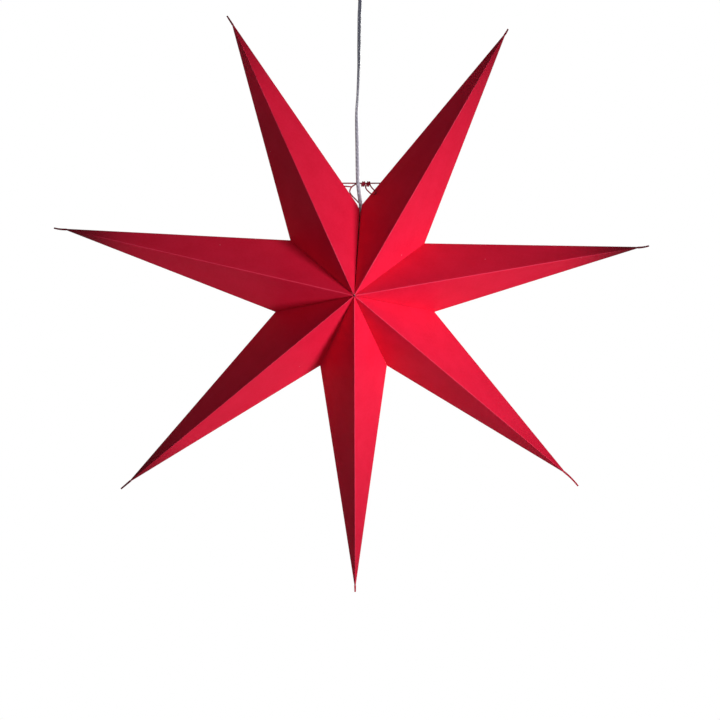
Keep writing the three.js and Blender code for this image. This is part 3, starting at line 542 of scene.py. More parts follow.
def wave_panels(piece, folds, seed):
    normals = [vert.normal.copy() for vert in piece.data.vertices]
    most = 0.0
    for vert, normal in zip(piece.data.vertices, normals):
        near = min(line_distance(vert.co, fold) for fold in folds)
        weight = min(1.0, near / STILL_NEAR_FOLD)
        shift = Vector((seed, 0, 0))
        wave = noise.noise(vert.co / WAVE_LENGTH + shift) * WAVE_HEIGHT
        wave += noise.noise(vert.co / RIPPLE_LENGTH - shift) * RIPPLE_HEIGHT
        vert.co += normal * wave * weight * weight
        most = max(most, abs(wave * weight))
    return most


# %% Thickness, soft creases and the pinched tail
TAIL_WIDTH = 2 * MM
TAIL_THICKNESS = 1.5 * MM
TAIL_EDGE = 0.25 * MM
TAIL_CUTS = 5
TAIL_CURL_MM = [0, -0.2, -0.4, 0.6, 0, 0, 0.4]  # how far each tail bows aside


def apply_modifier(piece, kind, settings):
    activate(piece)
    modifier = piece.modifiers.new(kind.lower(), kind)
    for name, value in settings.items():
        setattr(modifier, name, value)
    bpy.ops.object.modifier_apply(modifier=modifier.name)


def bevelled(piece, width, segments, angle_deg):
    limit = {"limit_method": "ANGLE", "angle_limit": math.radians(angle_deg)}
    apply_modifier(piece, "BEVEL", {"width": width, "segments": segments, **limit})


def combined(piece, other, operation):
    apply_modifier(piece, "BOOLEAN", {"object": other, "operation": operation, "solver": "EXACT"})
    bpy.data.objects.remove(other)


def drilled(piece, start, end, radius, sides=24, depth_share=1):
    deselect()
    middle, along = (start + end) / 2, end - start
    turned = along.to_track_quat("Z", "Y").to_euler()
    bpy.ops.mesh.primitive_cylinder_add(
        vertices=sides, radius=radius, depth=along.length, location=middle, rotation=turned
    )
    drill = bpy.context.object
    drill.matrix_world = Matrix.Diagonal((1, depth_share, 1, 1)) @ drill.matrix_world
    combined(piece, drill, "DIFFERENCE")
    return piece


def pinched_tail(corners, curl):
    deselect()
    bpy.ops.mesh.primitive_cube_add(size=1)
    tail = bpy.context.object
    out, side = corners["out"], corners["side"]
    root = corners["tip"] - out * TAIL_ROOT
    for vert in tail.data.vertices:
        far = vert.co.z > 0
        width = TAIL_THICKNESS if far else TAIL_WIDTH
        place = corners["end"] if far else root
        vert.co = place + side * vert.co.x * width + Vector((0, vert.co.y * TAIL_THICKNESS, 0))
    bpy.ops.object.mode_set(mode="EDIT")
    bpy.ops.mesh.select_all(action="SELECT")
    bpy.ops.mesh.subdivide(number_cuts=TAIL_CUTS)
    bpy.ops.mesh.normals_make_consistent(inside=False)
    bpy.ops.object.mode_set(mode="OBJECT")
    length = (corners["end"] - root).length
    for vert in tail.data.vertices:
        t = max(0.0, min(1.0, (vert.co - root).dot(out) / length))
        vert.co += side * curl * MM * math.sin(math.pi * t)
    apply_modifier(tail, "BEVEL", {"width": TAIL_EDGE, "segments": 2})
    return tail


def mark_points(piece, name, value_at):
    attribute = piece.data.attributes.new(name, "FLOAT", "POINT")
    attribute.data.foreach_set("value", [value_at(vert.co) for vert in piece.data.vertices])


def join_into(piece, others):
    deselect()
    for other in others:
        other.select_set(True)
    piece.select_set(True)
    bpy.context.view_layer.objects.active = piece
    bpy.ops.object.join()


# %% [markdown]
# ## Card material
# The card is dyed through in red and has an uncoated, slightly calendered surface: matt,
# with hardly any gloss. Its fibres are far below a tenth of a millimetre, too fine to
# show, so they are drawn 2.6 mm long. Folding breaks the dyed surface, and the ridges
# catch the light, so they are coloured a little lighter: partly wear, partly a painted
# highlight. The tips are pinched and glued by hand. Towards the tips, and on their tails,
# the card is painted darker as shade, where the light falls off, and a few specks of dust
# lie on the card.


# %% Dyed card
FIBRE = 2.6 * MM
MOTTLE = 22 * MM
SPECK = 5 * MM


def card_material():
    material, shader = new_material(
        "dyed_card",
        {
            "Roughness": 0.55,
            "IOR": 1.5,
            "Specular IOR Level": 0.03,
        },
    )
    mottle = ranged(material, noise_at(material, MOTTLE, 4), 0.3, 0.7)
    dye_and_painted_light = mixed(material, mottle, linear("E1193A"), linear("E81E40"))
    fibre = noise_at(material, FIBRE, 2)
    dye_and_painted_light = mixed(material, ranged(material, fibre, 0.35, 0.75, 0.0, 0.35), dye_and_painted_light, linear("EC2A4D"))
    # The ridges are coloured lighter, F0506E: partly worn creases, partly a painted highlight.
    fold = add_node(material, "ShaderNodeAttribute", {"attribute_name": "fold"}).outputs["Fac"]
    crease_wear_and_highlight = ranged(material, fold, 0.9, 1.0, 0.0, 0.55)
    dye_and_painted_light = mixed(material, crease_wear_and_highlight, dye_and_painted_light, linear("F0506E"))
    cells = add_node(
        material,
        "ShaderNodeTexVoronoi",
        inputs={"Vector": object_place(material), "Scale": 1 / (SPECK * 6)},
    )
    speck = ranged(material, cells.outputs["Distance"], 0.012, 0.02, 0.8, 0.0)
    dye_and_painted_light = mixed(material, speck, dye_and_painted_light, linear("F0A0A8"))
    # Painted shade: the spikes' ends and tails are coloured darker, towards 5C0618.
    painted_tip_shade = add_node(material, "ShaderNodeAttribute", {"attribute_name": "painted_tip_shade"}).outputs["Fac"]
    dye_and_painted_light = mixed(material, painted_tip_shade, dye_and_painted_light, linear("5C0618"))
    material.node_tree.links.new(dye_and_painted_light, shader.inputs["Base Color"])
    bumped(material, shader, fibre, 0.03 * MM, 0.4)
    return material


card = card_material()


# %% The seven points
CORD_NOTCH = (mm(2, 0, -282), mm(2.7, 0, -306))  # where the cord goes in through the seam
NOTCH_CLEARANCE = 0.7 * MM
NOTCH_DEPTH_SHARE = 0.7  # the cord is flat, so its notch is too


def add_strips(piece, index, corners, front, back):
    edges = []
    for side, seam_index, lean in (("left", 1, SEAM_LEAN_DEG), ("right", 0, -SEAM_LEAN_DEG)):
        valley = corners[side]
        at_seam = index == seam_index
        strip = SEAM_STRIP if at_seam else GLUE_STRIP
        lines = [(valley, front), (valley, back)]
        edges.append(add_glue_strip(piece, valley, lines, strip, lean if at_seam else 0))
    return edges


# Painted shade, strongest at a spike's end and fading along the spike.
def tip_shade(index, distance):
    near = max(0.0, 1 - distance / TIP_SHADE_LENGTH)
    return TIP_SHADE[index] * near * near * (3 - 2 * near)


def on_fold(place, folds):
    return float(min(line_distance(place, fold) for fold in folds) < CREASE_WIDTH)


def card_point(index):
    corners = point_corners(index)
    piece, front, back = folded_panels(corners)
    ridges = [(place, corners["tip"]) for place in (front, back)]
    sides = [(corners[side], corners["tip"]) for side in ("left", "right")]
    valleys = [(corners[side], peak) for side in ("left", "right") for peak in (front, back)]
    wave = wave_panels(piece, ridges + sides + valleys, WAVE_SEED_STEP * (index + 1))
    bevelled(piece, CREASE_WIDTH, 3, CREASE_DEG)
    activate(piece)
    edges = add_strips(piece, index, corners, front, back)
    cut_peak_hole(corners["out"])
    apply_modifier(piece, "SOLIDIFY", {"thickness": CARD, "offset": -1, "use_even_offset": True})
    if index in (0, 1):
        drilled(piece, *CORD_NOTCH, CORD_WIDTH / 2 + NOTCH_CLEARANCE, depth_share=NOTCH_DEPTH_SHARE)
    mark_points(piece, "fold", lambda place: on_fold(place, ridges))
    mark_points(piece, "painted_tip_shade", lambda place: tip_shade(index, (place - corners["tip"]).length))
    tail = pinched_tail(corners, TAIL_CURL_MM[index])
    mark_points(tail, "painted_tip_shade", lambda place: TAIL_SHADE[index])
    join_into(piece, [tail])
    smoothed(piece, CARD_SMOOTH_DEG)
    piece.name = f"card_point_{index + 1}"
    painted(piece, card)
    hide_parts(f"point_{index + 1}")
    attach(piece, "holder" if index == 4 else f"leaf_{index + 1}")
    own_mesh(piece)
    print(piece.name, "faces", len(piece.data.polygons), "strip edges", edges, "wave mm", round(wave / MM, 2))
    return piece


for point_index in range(len(TIP_DEG)):
    card_point(point_index)

# %% [markdown]
# ## The wire clip
# A lacquered steel wire lies across the open seam with its ends turned down into the card.
# Beside the cord it carries an eye, and a second wire is wound round it as a small coil,
# whose two legs go down in a hook that closes over the second point. Both are round wire,
# so a round section is swept along each route and its ends are rounded.

# %% Wire sizes, and where the open seam's edges lie
WIRE_RADIUS = 0.6 * MM
LACQUER = 0.07 * MM
WIRE_SIDES = 12
WIRE_RINGS = 8  # rings between two places of a route
END_RINGS = 4
WIRE_UP = Vector((0.1, -1, 0.2))  # the round sections are laid out from this direction
BAR_ABOVE_VALLEY = 24 * MM
BAR_GRIP = 6 * MM
BAR_HOOK = 5 * MM
BAR_BEHIND = CORD_WIDTH / 2 + WIRE_RADIUS + GAP * 2
EYE_WIDTH = 7.5 * MM
EYE_HEIGHT = 19 * MM
EYE_START = 12 * MM
EYE_SHARES = [
    (0, 0),
    (-0.55, 0.13),
    (-0.86, 0.25),
    (-1, 0.41),
    (-0.9, 0.55),
    (-0.54, 0.72),
    (-0.05, 0.91),
    (0.13, 1),
]
STUB_DROP = 2.9 * MM
STUB_START_SHARE = 0.8
COIL_RADIUS = 2.2 * MM
COIL_PITCH = 1.65 * MM
COIL_TURNS = 2
COIL_STEPS = 16
COIL_START = 1.3 * MM
HOOK_WIDTH = 5 * MM
HOOK_DROP = 10.2 * MM
HOOK_SIDE = 5.2 * MM
HOOK_REACH = 11 * MM
HOOK_SHARES = [
    (0.1, 0, 0.28),
    (0.24, 0, 0.5),
    (0.6, 0, 0.72),
    (0.96, 0.02, 0.9),
    (1.2, 0.12, 1),
    (1.25, 0.5, 1),
    (1.2, 0.86, 0.9),
    (1.04, 1.02, 0.76),
    (0.72, 1, 0.58),
    (0.36, 1, 0.38),
    (0.1, 1, 0.18),
]

seam_left = point_corners(0)
seam_right = point_corners(1)
bar_z = seam_left["right"].z + BAR_ABOVE_VALLEY


def seam_edge_x(corners, foot, z):
    share = (z - foot.z) / (corners["tip"].z - foot.z)
    return foot.x + (corners["tip"].x - foot.x) * share


def left_edge_x(z):
    return seam_edge_x(seam_left, seam_left["right"], z)


def right_edge_x(z):
    return seam_edge_x(seam_right, seam_right["left"], z)


def behind(x, z):
    return Vector((x, BAR_BEHIND, z))


# %% Round wire with rounded ends
def wire_rings(path, radius):
    start = (path[0] - path[1]).normalized()
    end = (path[-1] - path[-2]).normalized()
    domes = [math.pi / 2 * i / END_RINGS for i in range(1, END_RINGS)]
    head = [(path[0] + start * radius * math.sin(a), math.cos(a)) for a in reversed(domes)]
    tail = [(path[-1] + end * radius * math.sin(a), math.cos(a)) for a in domes]
    return head + [(place, 1.0) for place in path] + tail


def wire_piece(name, places, radius=WIRE_RADIUS + LACQUER, rings=WIRE_RINGS):
    path = wire_rings(smooth_route(places, rings), radius)
    circle = [2 * math.pi * k / WIRE_SIDES for k in range(WIRE_SIDES)]

    def section_at(i):
        return [(radius * path[i][1] * math.cos(a), radius * path[i][1] * math.sin(a)) for a in circle]

    return swept_mesh(name, [place for place, _ in path], section_at, WIRE_UP)


# %% [markdown]
# ## Lacquered wire
# The clip is drawn steel wire dipped in a dark red lacquer that has dulled. Over its deep
# maroon it keeps a faint, soft shine along its length, and it is a little lighter in
# patches where the lacquer is thin.


# %% Lacquer
def lacquer_material():
    material, shader = new_material(
        "red_lacquered_wire",
        {"Roughness": 0.4, "IOR": 1.5, "Specular IOR Level": 0.08},
    )
    thin = ranged(material, noise_at(material, 3 * MM), 0.35, 0.7)
    colour = mixed(material, thin, linear("7A0A1E"), linear("9A1C34"))
    material.node_tree.links.new(colour, shader.inputs["Base Color"])
    bumped(material, shader, noise_at(material, 1.2 * MM), 0.03 * MM)
    return material


lacquer = lacquer_material()


# %% The bar, its eye and its side hook
def bar_places():
    bend = WIRE_RADIUS * 2
    left = left_edge_x(bar_z) - BAR_GRIP
    right = right_edge_x(bar_z) + BAR_GRIP
    return [
        behind(left, bar_z - BAR_HOOK),
        behind(left, bar_z - bend),
        behind(left + bend, bar_z),
        behind((left + right) / 2, bar_z),
        behind(right - bend, bar_z),
        behind(right, bar_z - bend),
        behind(right, bar_z - BAR_HOOK),
    ]


def make_hanger_wire():
    eye_x = left_edge_x(bar_z) + EYE_START + WIRE_RADIUS * 4
    eye = [behind(eye_x + across * EYE_WIDTH, bar_z - down * EYE_HEIGHT) for across, down in EYE_SHARES]
    stub_z = bar_z - STUB_DROP
    stub = [
        behind(eye_x - EYE_WIDTH * STUB_START_SHARE, stub_z - WIRE_RADIUS),
        behind(left_edge_x(stub_z), stub_z),
        behind(left_edge_x(stub_z) - BAR_GRIP, stub_z + WIRE_RADIUS),
    ]
    piece = wire_piece("seam_bar", bar_places())
    join_into(piece, [wire_piece("seam_eye", eye), wire_piece("seam_stub", stub)])
    painted(piece, lacquer)
    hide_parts("hanger_wire")
    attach(piece, "holder")
    return piece


# %% The closing hook
def panel_front_y(x, z):
    start = STAR + Vector((0, -HALF_DEPTH, 0))
    normal = (seam_right["tip"] - start).cross(seam_right["left"] - start)
    if normal.y > 0:
        normal = -normal
    normal.normalize()
    room = WIRE_RADIUS + GAP * 2
    return start.y + (room - normal.x * (x - start.x) - normal.z * (z - start.z)) / normal.y


def coil_places(from_x, coil_z):
    count = round(COIL_TURNS * COIL_STEPS)
    places = []
    for i in range(count + 1):
        angle = 2 * math.pi * (i - count) / COIL_STEPS
        x = from_x + COIL_PITCH * i / COIL_STEPS
        y = BAR_BEHIND - COIL_RADIUS * math.cos(angle)
        places.append(Vector((x, y, coil_z - COIL_RADIUS * math.sin(angle))))
    return places


def make_closing_hook():
    coil_x = CORD_ROUTE[-1][0] * MM + COIL_START
    coil_z = bar_z - (COIL_RADIUS - WIRE_RADIUS * 2 - GAP)
    coil_length = COIL_PITCH * COIL_TURNS
    leg_x = coil_x + coil_length
    first = coil_places(coil_x, coil_z)
    last = coil_places(leg_x + HOOK_WIDTH - coil_length, coil_z)[::-1]
    front = BAR_BEHIND - COIL_RADIUS
    legs = []
    for aside, across, down in HOOK_SHARES:
        x = leg_x + aside * HOOK_SIDE + across * HOOK_WIDTH
        z = coil_z - down * HOOK_DROP
        legs.append(Vector((x, min(front - down * HOOK_REACH, panel_front_y(x, z)), z)))
    piece = wire_piece("seam_hook", [*first, *legs, *last], rings=4)
    painted(piece, lacquer)
    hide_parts("closing_hook")
    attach(piece, "hook")
    return piece


make_hanger_wire()
make_closing_hook()
print("clip bar at z, mm:", round(bar_z / MM, 1))

# %% [markdown]
# ## Turned pieces
# The cup, the lampholder and the lamp are round. Each is made as on a lathe: a circle is
# extruded ring by ring along its axis, and every new ring is resized about that axis. The
# last ring is brought back to the first, so the wall is closed, and a small bevel breaks
# the edges as a mould does.

# %% A circle, extruded and resized ring by ring
TURNED_SIDES = 64
POLE_RADIUS = 0.004 * MM  # a ring this small is merged into one point
MERGE_WITHIN = 0.02 * MM


def turned_piece(name, profile, axis=0.0, sides=TURNED_SIDES, closed=True):
    rings = [(max(radius, POLE_RADIUS), z) for radius, z in profile]
    radius, z = rings[0]
    deselect()
    bpy.ops.mesh.primitive_circle_add(vertices=sides, radius=radius, location=(axis, 0, z))
    bpy.ops.object.transform_apply(location=True)
    piece = named(name)
    bpy.ops.object.mode_set(mode="EDIT")
    bpy.ops.mesh.select_all(action="SELECT")
    for next_radius, next_z in rings[1:] + (rings[:1] if closed else []):
        bpy.ops.mesh.extrude_region_move(TRANSFORM_OT_translate={"value": (0, 0, next_z - z)})
        share = next_radius / radius
        bpy.ops.transform.resize(value=(share, share, 1), center_override=(axis, 0, next_z))
        radius, z = next_radius, next_z
    bpy.ops.mesh.select_all(action="SELECT")
    bpy.ops.mesh.remove_doubles(threshold=MERGE_WITHIN)
    bpy.ops.mesh.delete_loose()
    bpy.ops.mesh.select_all(action="SELECT")
    bpy.ops.mesh.normals_make_consistent(inside=False)
    bpy.ops.object.mode_set(mode="OBJECT")
    return piece


def softened(piece, width, angle_deg=30):
    bevelled(piece, width, 2, angle_deg)
    return smoothed(piece, angle_deg)


def arc(radius, centre_radius, centre_z, from_deg, to_deg, steps=10):
    angles = [math.radians(from_deg + (to_deg - from_deg) * i / steps) for i in range(steps + 1)]
    return [(centre_radius + radius * math.cos(a), centre_z + radius * math.sin(a)) for a in angles]


def standing_for(piece, material, node, body):
    painted(piece, material)
    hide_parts(node)
    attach(piece, body)
    return piece


# %% [markdown]
# ## Plastics
# The cup and the lampholder's shell are moulded in white ABS. The mould was finely sparked,
# so the surface has a soft grain under its gloss. The insert that carries the live parts is
# ivory urea, a harder and a little more yellow plastic with the same kind of skin.

# %% Moulded plastics
MOULD_GRAIN = 0.5 * MM


def moulded(name, light, shade, roughness):
    material, shader = new_material(name, {"Roughness": roughness, "IOR": 1.54})
    cloud = ranged(material, noise_at(material, 30 * MM), 0.3, 0.7)
    colour = mixed(material, cloud, linear(light), linear(shade))
    material.node_tree.links.new(colour, shader.inputs["Base Color"])
    bumped(material, shader, noise_at(material, MOULD_GRAIN, 2), 0.01 * MM, 0.5)
    return material


white_abs = moulded("moulded_white_abs", "E9E8E2", "E2E1DA", 0.34)
ivory_urea = moulded("moulded_ivory_urea", "DAD3BB", "CFC6AA", 0.42)

# %% [markdown]
# ## Plated metals
# The ceiling plate is pressed steel with a thin zinc coat, which has a soft spangle and a
# cool, slightly yellow tint. The lampholder's live parts are brass strip, and the lamp's
# cap is brass with a nickel coat. Each has a soft mottle in colour and roughness.


# %% Metals
def plated(name, light, dark, roughness, grain):
    material, shader = new_material(name, {"Metallic": 1.0, "Roughness": roughness})
    spangle = ranged(material, noise_at(material, grain, 4), 0.35, 0.65)
    colour = mixed(material, spangle, linear(light), linear(dark))
    material.node_tree.links.new(colour, shader.inputs["Base Color"])
    rough = ranged(material, spangle, 0, 1, roughness * 0.8, roughness * 1.25)
    material.node_tree.links.new(rough, shader.inputs["Roughness"])
    bumped(material, shader, spangle, 0.01 * MM, 0.4)
    return material


zinc_steel = plated("zinc_plated_steel", "C9CBCC", "ADB0B0", 0.34, 4 * MM)
brass = plated("rolled_brass", "D9B25E", "BF9445", 0.28, 2 * MM)
nickel_brass = plated("nickel_plated_brass", "CFCAC0", "B9B2A4", 0.22, 3 * MM)

# %% [markdown]
# ## The ceiling cup
# Outside the photograph, the cord comes out of a small white cup that hides the wiring. A
# pressed plate is screwed to the ceiling, and the cup is held to the plate's two lugs by a
# screw on each side. In the cup's middle sits a threaded outlet with a ball, so the cord can
# lean either way without a kink.

# %% Ceiling plate: a disc with a turned-down lug on each side
PLATE_RADIUS = 38 * MM
PLATE_THICKNESS = 1.6 * MM
LUG_WIDTH = 10 * MM
LUG_DROP = 13 * MM
SCREW_DEPTH_MM = 8  # of the cup screws below the ceiling
SCREW_RADIUS = 1.5 * MM
PLATE_HOLES = [(mm(0, -25, 0), 2.3), (mm(0, 25, 0), 2.3), (mm(-24, 0, 0), 5)]  # place, radius in mm
LUG_DRILL_MM = (33, 41)  # from and to, counted from the middle


def place_box(name, low, high):
    deselect()
    bpy.ops.mesh.primitive_cube_add(size=1, location=(low + high) / 2, scale=high - low)
    bpy.ops.object.transform_apply(location=True, scale=True)
    return named(name)


def united(piece, others):
    for other in others:
        combined(piece, other, "UNION")
    return piece


def screw_way(side, ends_mm):
    return [mm(side * end, 0, -SCREW_DEPTH_MM) for end in ends_mm]


def make_ceiling_plate():
    low = -PLATE_THICKNESS
    profile = [(0, low), (PLATE_RADIUS, low), (PLATE_RADIUS, 0), (0, 0)]
    plate = turned_piece("pressed_plate", profile, closed=False)
    lug_foot = low / 2 - LUG_DROP
    lugs = []
    for side in (-1, 1):
        inner, outer = PLATE_RADIUS - PLATE_THICKNESS * 1.5, PLATE_RADIUS - PLATE_THICKNESS / 2
        near, far = sorted((side * inner, side * outer))
        half = LUG_WIDTH / 2
        lugs.append(place_box("lug", Vector((near, -half, lug_foot)), Vector((far, half, low / 2))))
    united(plate, lugs)
    above, under = Vector((0, 0, 3 * MM)), Vector((0, 0, -5 * MM))
    for place, radius in PLATE_HOLES:
        drilled(plate, place + under, place + above, radius * MM)
    for side in (-1, 1):
        drilled(plate, *screw_way(side, LUG_DRILL_MM), SCREW_RADIUS + GAP)
    softened(plate, 0.3 * MM)
    return standing_for(plate, zinc_steel, "ceiling_plate", "ceiling")


ceiling_plate = make_ceiling_plate()
print("plate faces:", len(ceiling_plate.data.polygons))

# %% Cup: a tapering wall with a rounded bottom edge
CUP_RADIUS = 42 * MM
CUP_HEIGHT = 46 * MM
CUP_WALL = 2 * MM
CUP_CORNER = 12 * MM
CUP_TAPER = 3 * MM
CUP_DRILL_MM = (36, 45)
STEM_RADIUS = 5 * MM


def make_ceiling_cup():
    centre = CUP_RADIUS - CUP_TAPER - CUP_CORNER
    outside = arc(CUP_CORNER, centre, CUP_CORNER - CUP_HEIGHT, 0, -90, 12)
    inside = arc(CUP_CORNER - CUP_WALL, centre, CUP_CORNER - CUP_HEIGHT, -90, 0, 12)
    hole = STEM_RADIUS + GAP
    profile = [(CUP_RADIUS, -GAP), *outside, (hole, -CUP_HEIGHT), (hole, CUP_WALL - CUP_HEIGHT)]
    profile += [*inside, (CUP_RADIUS - CUP_WALL, -GAP)]
    cup = turned_piece("ceiling_cup_shell", profile, sides=96)
    for side in (-1, 1):
        drilled(cup, *screw_way(side, CUP_DRILL_MM), SCREW_RADIUS + GAP)
    softened(cup, 0.35 * MM)
    return standing_for(cup, white_abs, "ceiling_cup", "ceiling")


make_ceiling_cup()

# %% Slotted screws: a head and a shank turned upright, a slot cut, then laid in place
SLOT_WIDTH = 0.6 * MM
SLOT_DEPTH = 0.45 * MM
CUP_SCREW_HEAD = 3 * MM
CUP_SCREW_LENGTH = 8 * MM
CUP_SCREW_CROWN = [(1, 0), (0.93, 1.1), (0.62, 1.7), (0, 1.8)]  # share of the head, mm above the shank


def slotted_screw(name, profile, foot, direction, slot_length):
    screw = turned_piece(name, profile, sides=32, closed=False)
    top = profile[-1][1]
    half = Vector((slot_length / 2, SLOT_WIDTH / 2, SLOT_DEPTH))
    cut = place_box("slot", Vector((0, 0, top)) - half, Vector((0, 0, top)) + half)
    combined(screw, cut, "DIFFERENCE")
    softened(screw, 0.08 * MM)
    screw.rotation_euler = direction.to_track_quat("Z", "Y").to_euler()
    screw.location = foot
    activate(screw)
    bpy.ops.object.transform_apply(location=True, rotation=True)
    return screw


def make_cup_screw(side, node):
    head, length = CUP_SCREW_HEAD, CUP_SCREW_LENGTH
    profile = [(0, 0), (SCREW_RADIUS * 0.7, 0), (SCREW_RADIUS, 0.5 * MM), (SCREW_RADIUS, length)]
    profile += [(head * share, length + up * MM) for share, up in CUP_SCREW_CROWN]
    foot = Vector((side * (CUP_RADIUS + GAP - length), 0, -SCREW_DEPTH_MM * MM))
    screw = slotted_screw(node + "_dressed", profile, foot, Vector((side, 0, 0)), head * 3)
    return standing_for(screw, zinc_steel, node, "ceiling")


make_cup_screw(-1, "cup_screw_left")
make_cup_screw(1, "cup_screw_right")

# %% Outlet, nut and ball
OUTLET_RADIUS = 8 * MM
OUTLET_HEAD = 9 * MM
STEM_TOP = -34 * MM
BALL_RADIUS = 5 * MM
CORD_BORE = CORD_WIDTH / 2 + GAP
NUT_RADIUS = 8.5 * MM
NUT_HEIGHT = 4 * MM
OUTLET_EDGE = 1.4 * MM
OUTLET_EDGE_STEP = 0.4 * MM
BALL_MOUTH_DEG = -40  # where the ball's outside ends, below its middle
BALL_ROOF = 1.2 * MM  # the bore's blind end, above the ball's middle
BALL_BORE = 2.4 * MM
BALL_FLARE_DEG = 26  # of the bore, so that the leaning cord stays clear


def make_outlet():
    foot = -CUP_HEIGHT - OUTLET_HEAD
    face = -CUP_HEIGHT - GAP
    socket = BALL_RADIUS + GAP
    low_deg = math.degrees(math.asin((foot - BALL.z) / socket))
    high_deg = math.degrees(math.acos(CORD_BORE / socket))
    profile = [(CORD_BORE, STEM_TOP), (STEM_RADIUS, STEM_TOP), (STEM_RADIUS, face), (OUTLET_RADIUS, face)]
    step = OUTLET_EDGE_STEP
    profile += [(OUTLET_RADIUS, foot + OUTLET_EDGE), (OUTLET_RADIUS - step, foot + step)]
    profile += [(OUTLET_RADIUS - OUTLET_EDGE, foot), *arc(socket, 0, BALL.z, low_deg, high_deg)]
    return softened(turned_piece("cord_outlet", profile), 0.15 * MM)


def make_ball():
    roof = BALL.z + BALL_ROOF
    mouth_angle = math.radians(BALL_MOUTH_DEG)
    mouth = BALL_BORE + math.tan(math.radians(BALL_FLARE_DEG)) * BALL_RADIUS * math.sin(-mouth_angle)
    rim = min(mouth, BALL_RADIUS * math.cos(mouth_angle) - GAP)
    outside = arc(BALL_RADIUS, 0, BALL.z, BALL_MOUTH_DEG, 90, 16)
    profile = [(0, roof), (BALL_BORE, roof), (rim, outside[0][1]), *outside]
    return softened(turned_piece("cord_ball", profile, closed=False), 0.1 * MM, 40)


def make_outlet_nut():
    floor = CUP_WALL + GAP - CUP_HEIGHT
    deselect()
    middle = (0, 0, floor + NUT_HEIGHT / 2)
    bpy.ops.mesh.primitive_cylinder_add(vertices=6, radius=NUT_RADIUS, depth=NUT_HEIGHT, location=middle)
    bpy.ops.object.transform_apply(location=True)
    nut = named("outlet_nut_dressed")
    low, high = Vector((0, 0, floor - NUT_HEIGHT)), Vector((0, 0, floor + NUT_HEIGHT * 2))
    drilled(nut, low, high, STEM_RADIUS + GAP, TURNED_SIDES)
    return softened(nut, 0.4 * MM)


outlet = standing_for(make_outlet(), white_abs, "outlet_body", "ceiling")
ball = standing_for(make_ball(), white_abs, "swivel_ball", "swivel")
standing_for(make_outlet_nut(), white_abs, "outlet_nut", "ceiling")
print("outlet, ball faces:", len(outlet.data.polygons), len(ball.data.polygons))

# %% [markdown]
# ## Inside the cup
# Above the outlet a collar is clamped on the cord, so that the lantern's weight never pulls
# at the wires. There the cord's jacket ends, and its two cores part and go up into a screw
# terminal block. The cores have coloured PVC skins, extruded and slightly matt.

# %% Cord tail, collar and coloured cores
STOP_RADIUS = 5.5 * MM
STOP_HEIGHT = 7 * MM
JACKET_END = 2 * MM  # how far the jacket stands out of the collar
CORE_RADIUS = 0.7 * MM
CORE_ASIDE = 0.85 * MM  # a core's centre, beside the cord's
STOP_BOTTOM = STEM_TOP + GAP
TAIL_TOP = STOP_BOTTOM + STOP_HEIGHT + JACKET_END
CORE_STEPS = 6


def make_cord_tail():
    low = BALL.z + BALL_RADIUS + GAP
    steps = 12
    path = [Vector((0, 0, low + (TAIL_TOP - low) * i / steps)) for i in range(steps + 1)]
    flat = figure_eight(CORD_WIDTH, CORD_THICKNESS, CORD_SECTION_STEPS)
    piece = swept_mesh("jacket_end", path, lambda i: flat, Vector((0, -1, 0)))
    return standing_for(piece, flex, "cord_tail", "ceiling")


def make_cord_stop():
    top = STOP_BOTTOM + STOP_HEIGHT
    profile = [(CORD_BORE, STOP_BOTTOM), (STOP_RADIUS, STOP_BOTTOM), (STOP_RADIUS, top), (CORD_BORE, top)]
    collar = softened(turned_piece("clamp_collar", profile), 0.5 * MM)
    return standing_for(collar, white_abs, "cord_stop", "ceiling")


make_cord_tail()
make_cord_stop()
brown_pvc = moulded("extruded_brown_pvc", "6B4129", "5A3521", 0.45)
blue_pvc = moulded("extruded_blue_pvc", "2F5CA6", "284F92", 0.45)

# %% Terminal block, its screws and the cores that end in it
BLOCK_LOW = mm(-10, -20, -12.9)
BLOCK_HIGH = mm(10, -8, -1.9)
BLOCK_BORE = 1.6 * MM
BLOCK_PITCH = 9 * MM
BLOCK_CENTRE = (BLOCK_LOW + BLOCK_HIGH) / 2
BLOCK_REACH = Vector((0, 12 * MM, 0))
BLOCK_SCREW_LENGTH = 4 * MM


def make_terminal_block():
    block = place_box("terminal_block_dressed", BLOCK_LOW, BLOCK_HIGH)
    for side in (-1, 1):
        centre = BLOCK_CENTRE + Vector((side * BLOCK_PITCH / 2, 0, 0))
        drilled(block, centre - BLOCK_REACH, centre + BLOCK_REACH, BLOCK_BORE)
        below = Vector((centre.x, centre.y, BLOCK_LOW.z - BLOCK_BORE))
        drilled(block, below, centre, SCREW_RADIUS + GAP)
    softened(block, 0.5 * MM)
    return standing_for(block, ivory_urea, "terminal_block", "ceiling")


def plain_screw(name, radius, length, foot, direction):
    edge = radius * 0.2
    side = [(radius - edge, 0), (radius, edge), (radius, length - edge), (radius - edge, length)]
    return slotted_screw(name, [(0, 0), *side, (0, length)], foot, direction, radius * 3)


def make_terminal_screw(side, node):
    foot = Vector((side * BLOCK_PITCH / 2, BLOCK_CENTRE.y, BLOCK_LOW.z + GAP + BLOCK_SCREW_LENGTH))
    screw = plain_screw(node + "_dressed", SCREW_RADIUS, BLOCK_SCREW_LENGTH, foot, Vector((0, 0, -1)))
    return standing_for(screw, brass, node, "ceiling")


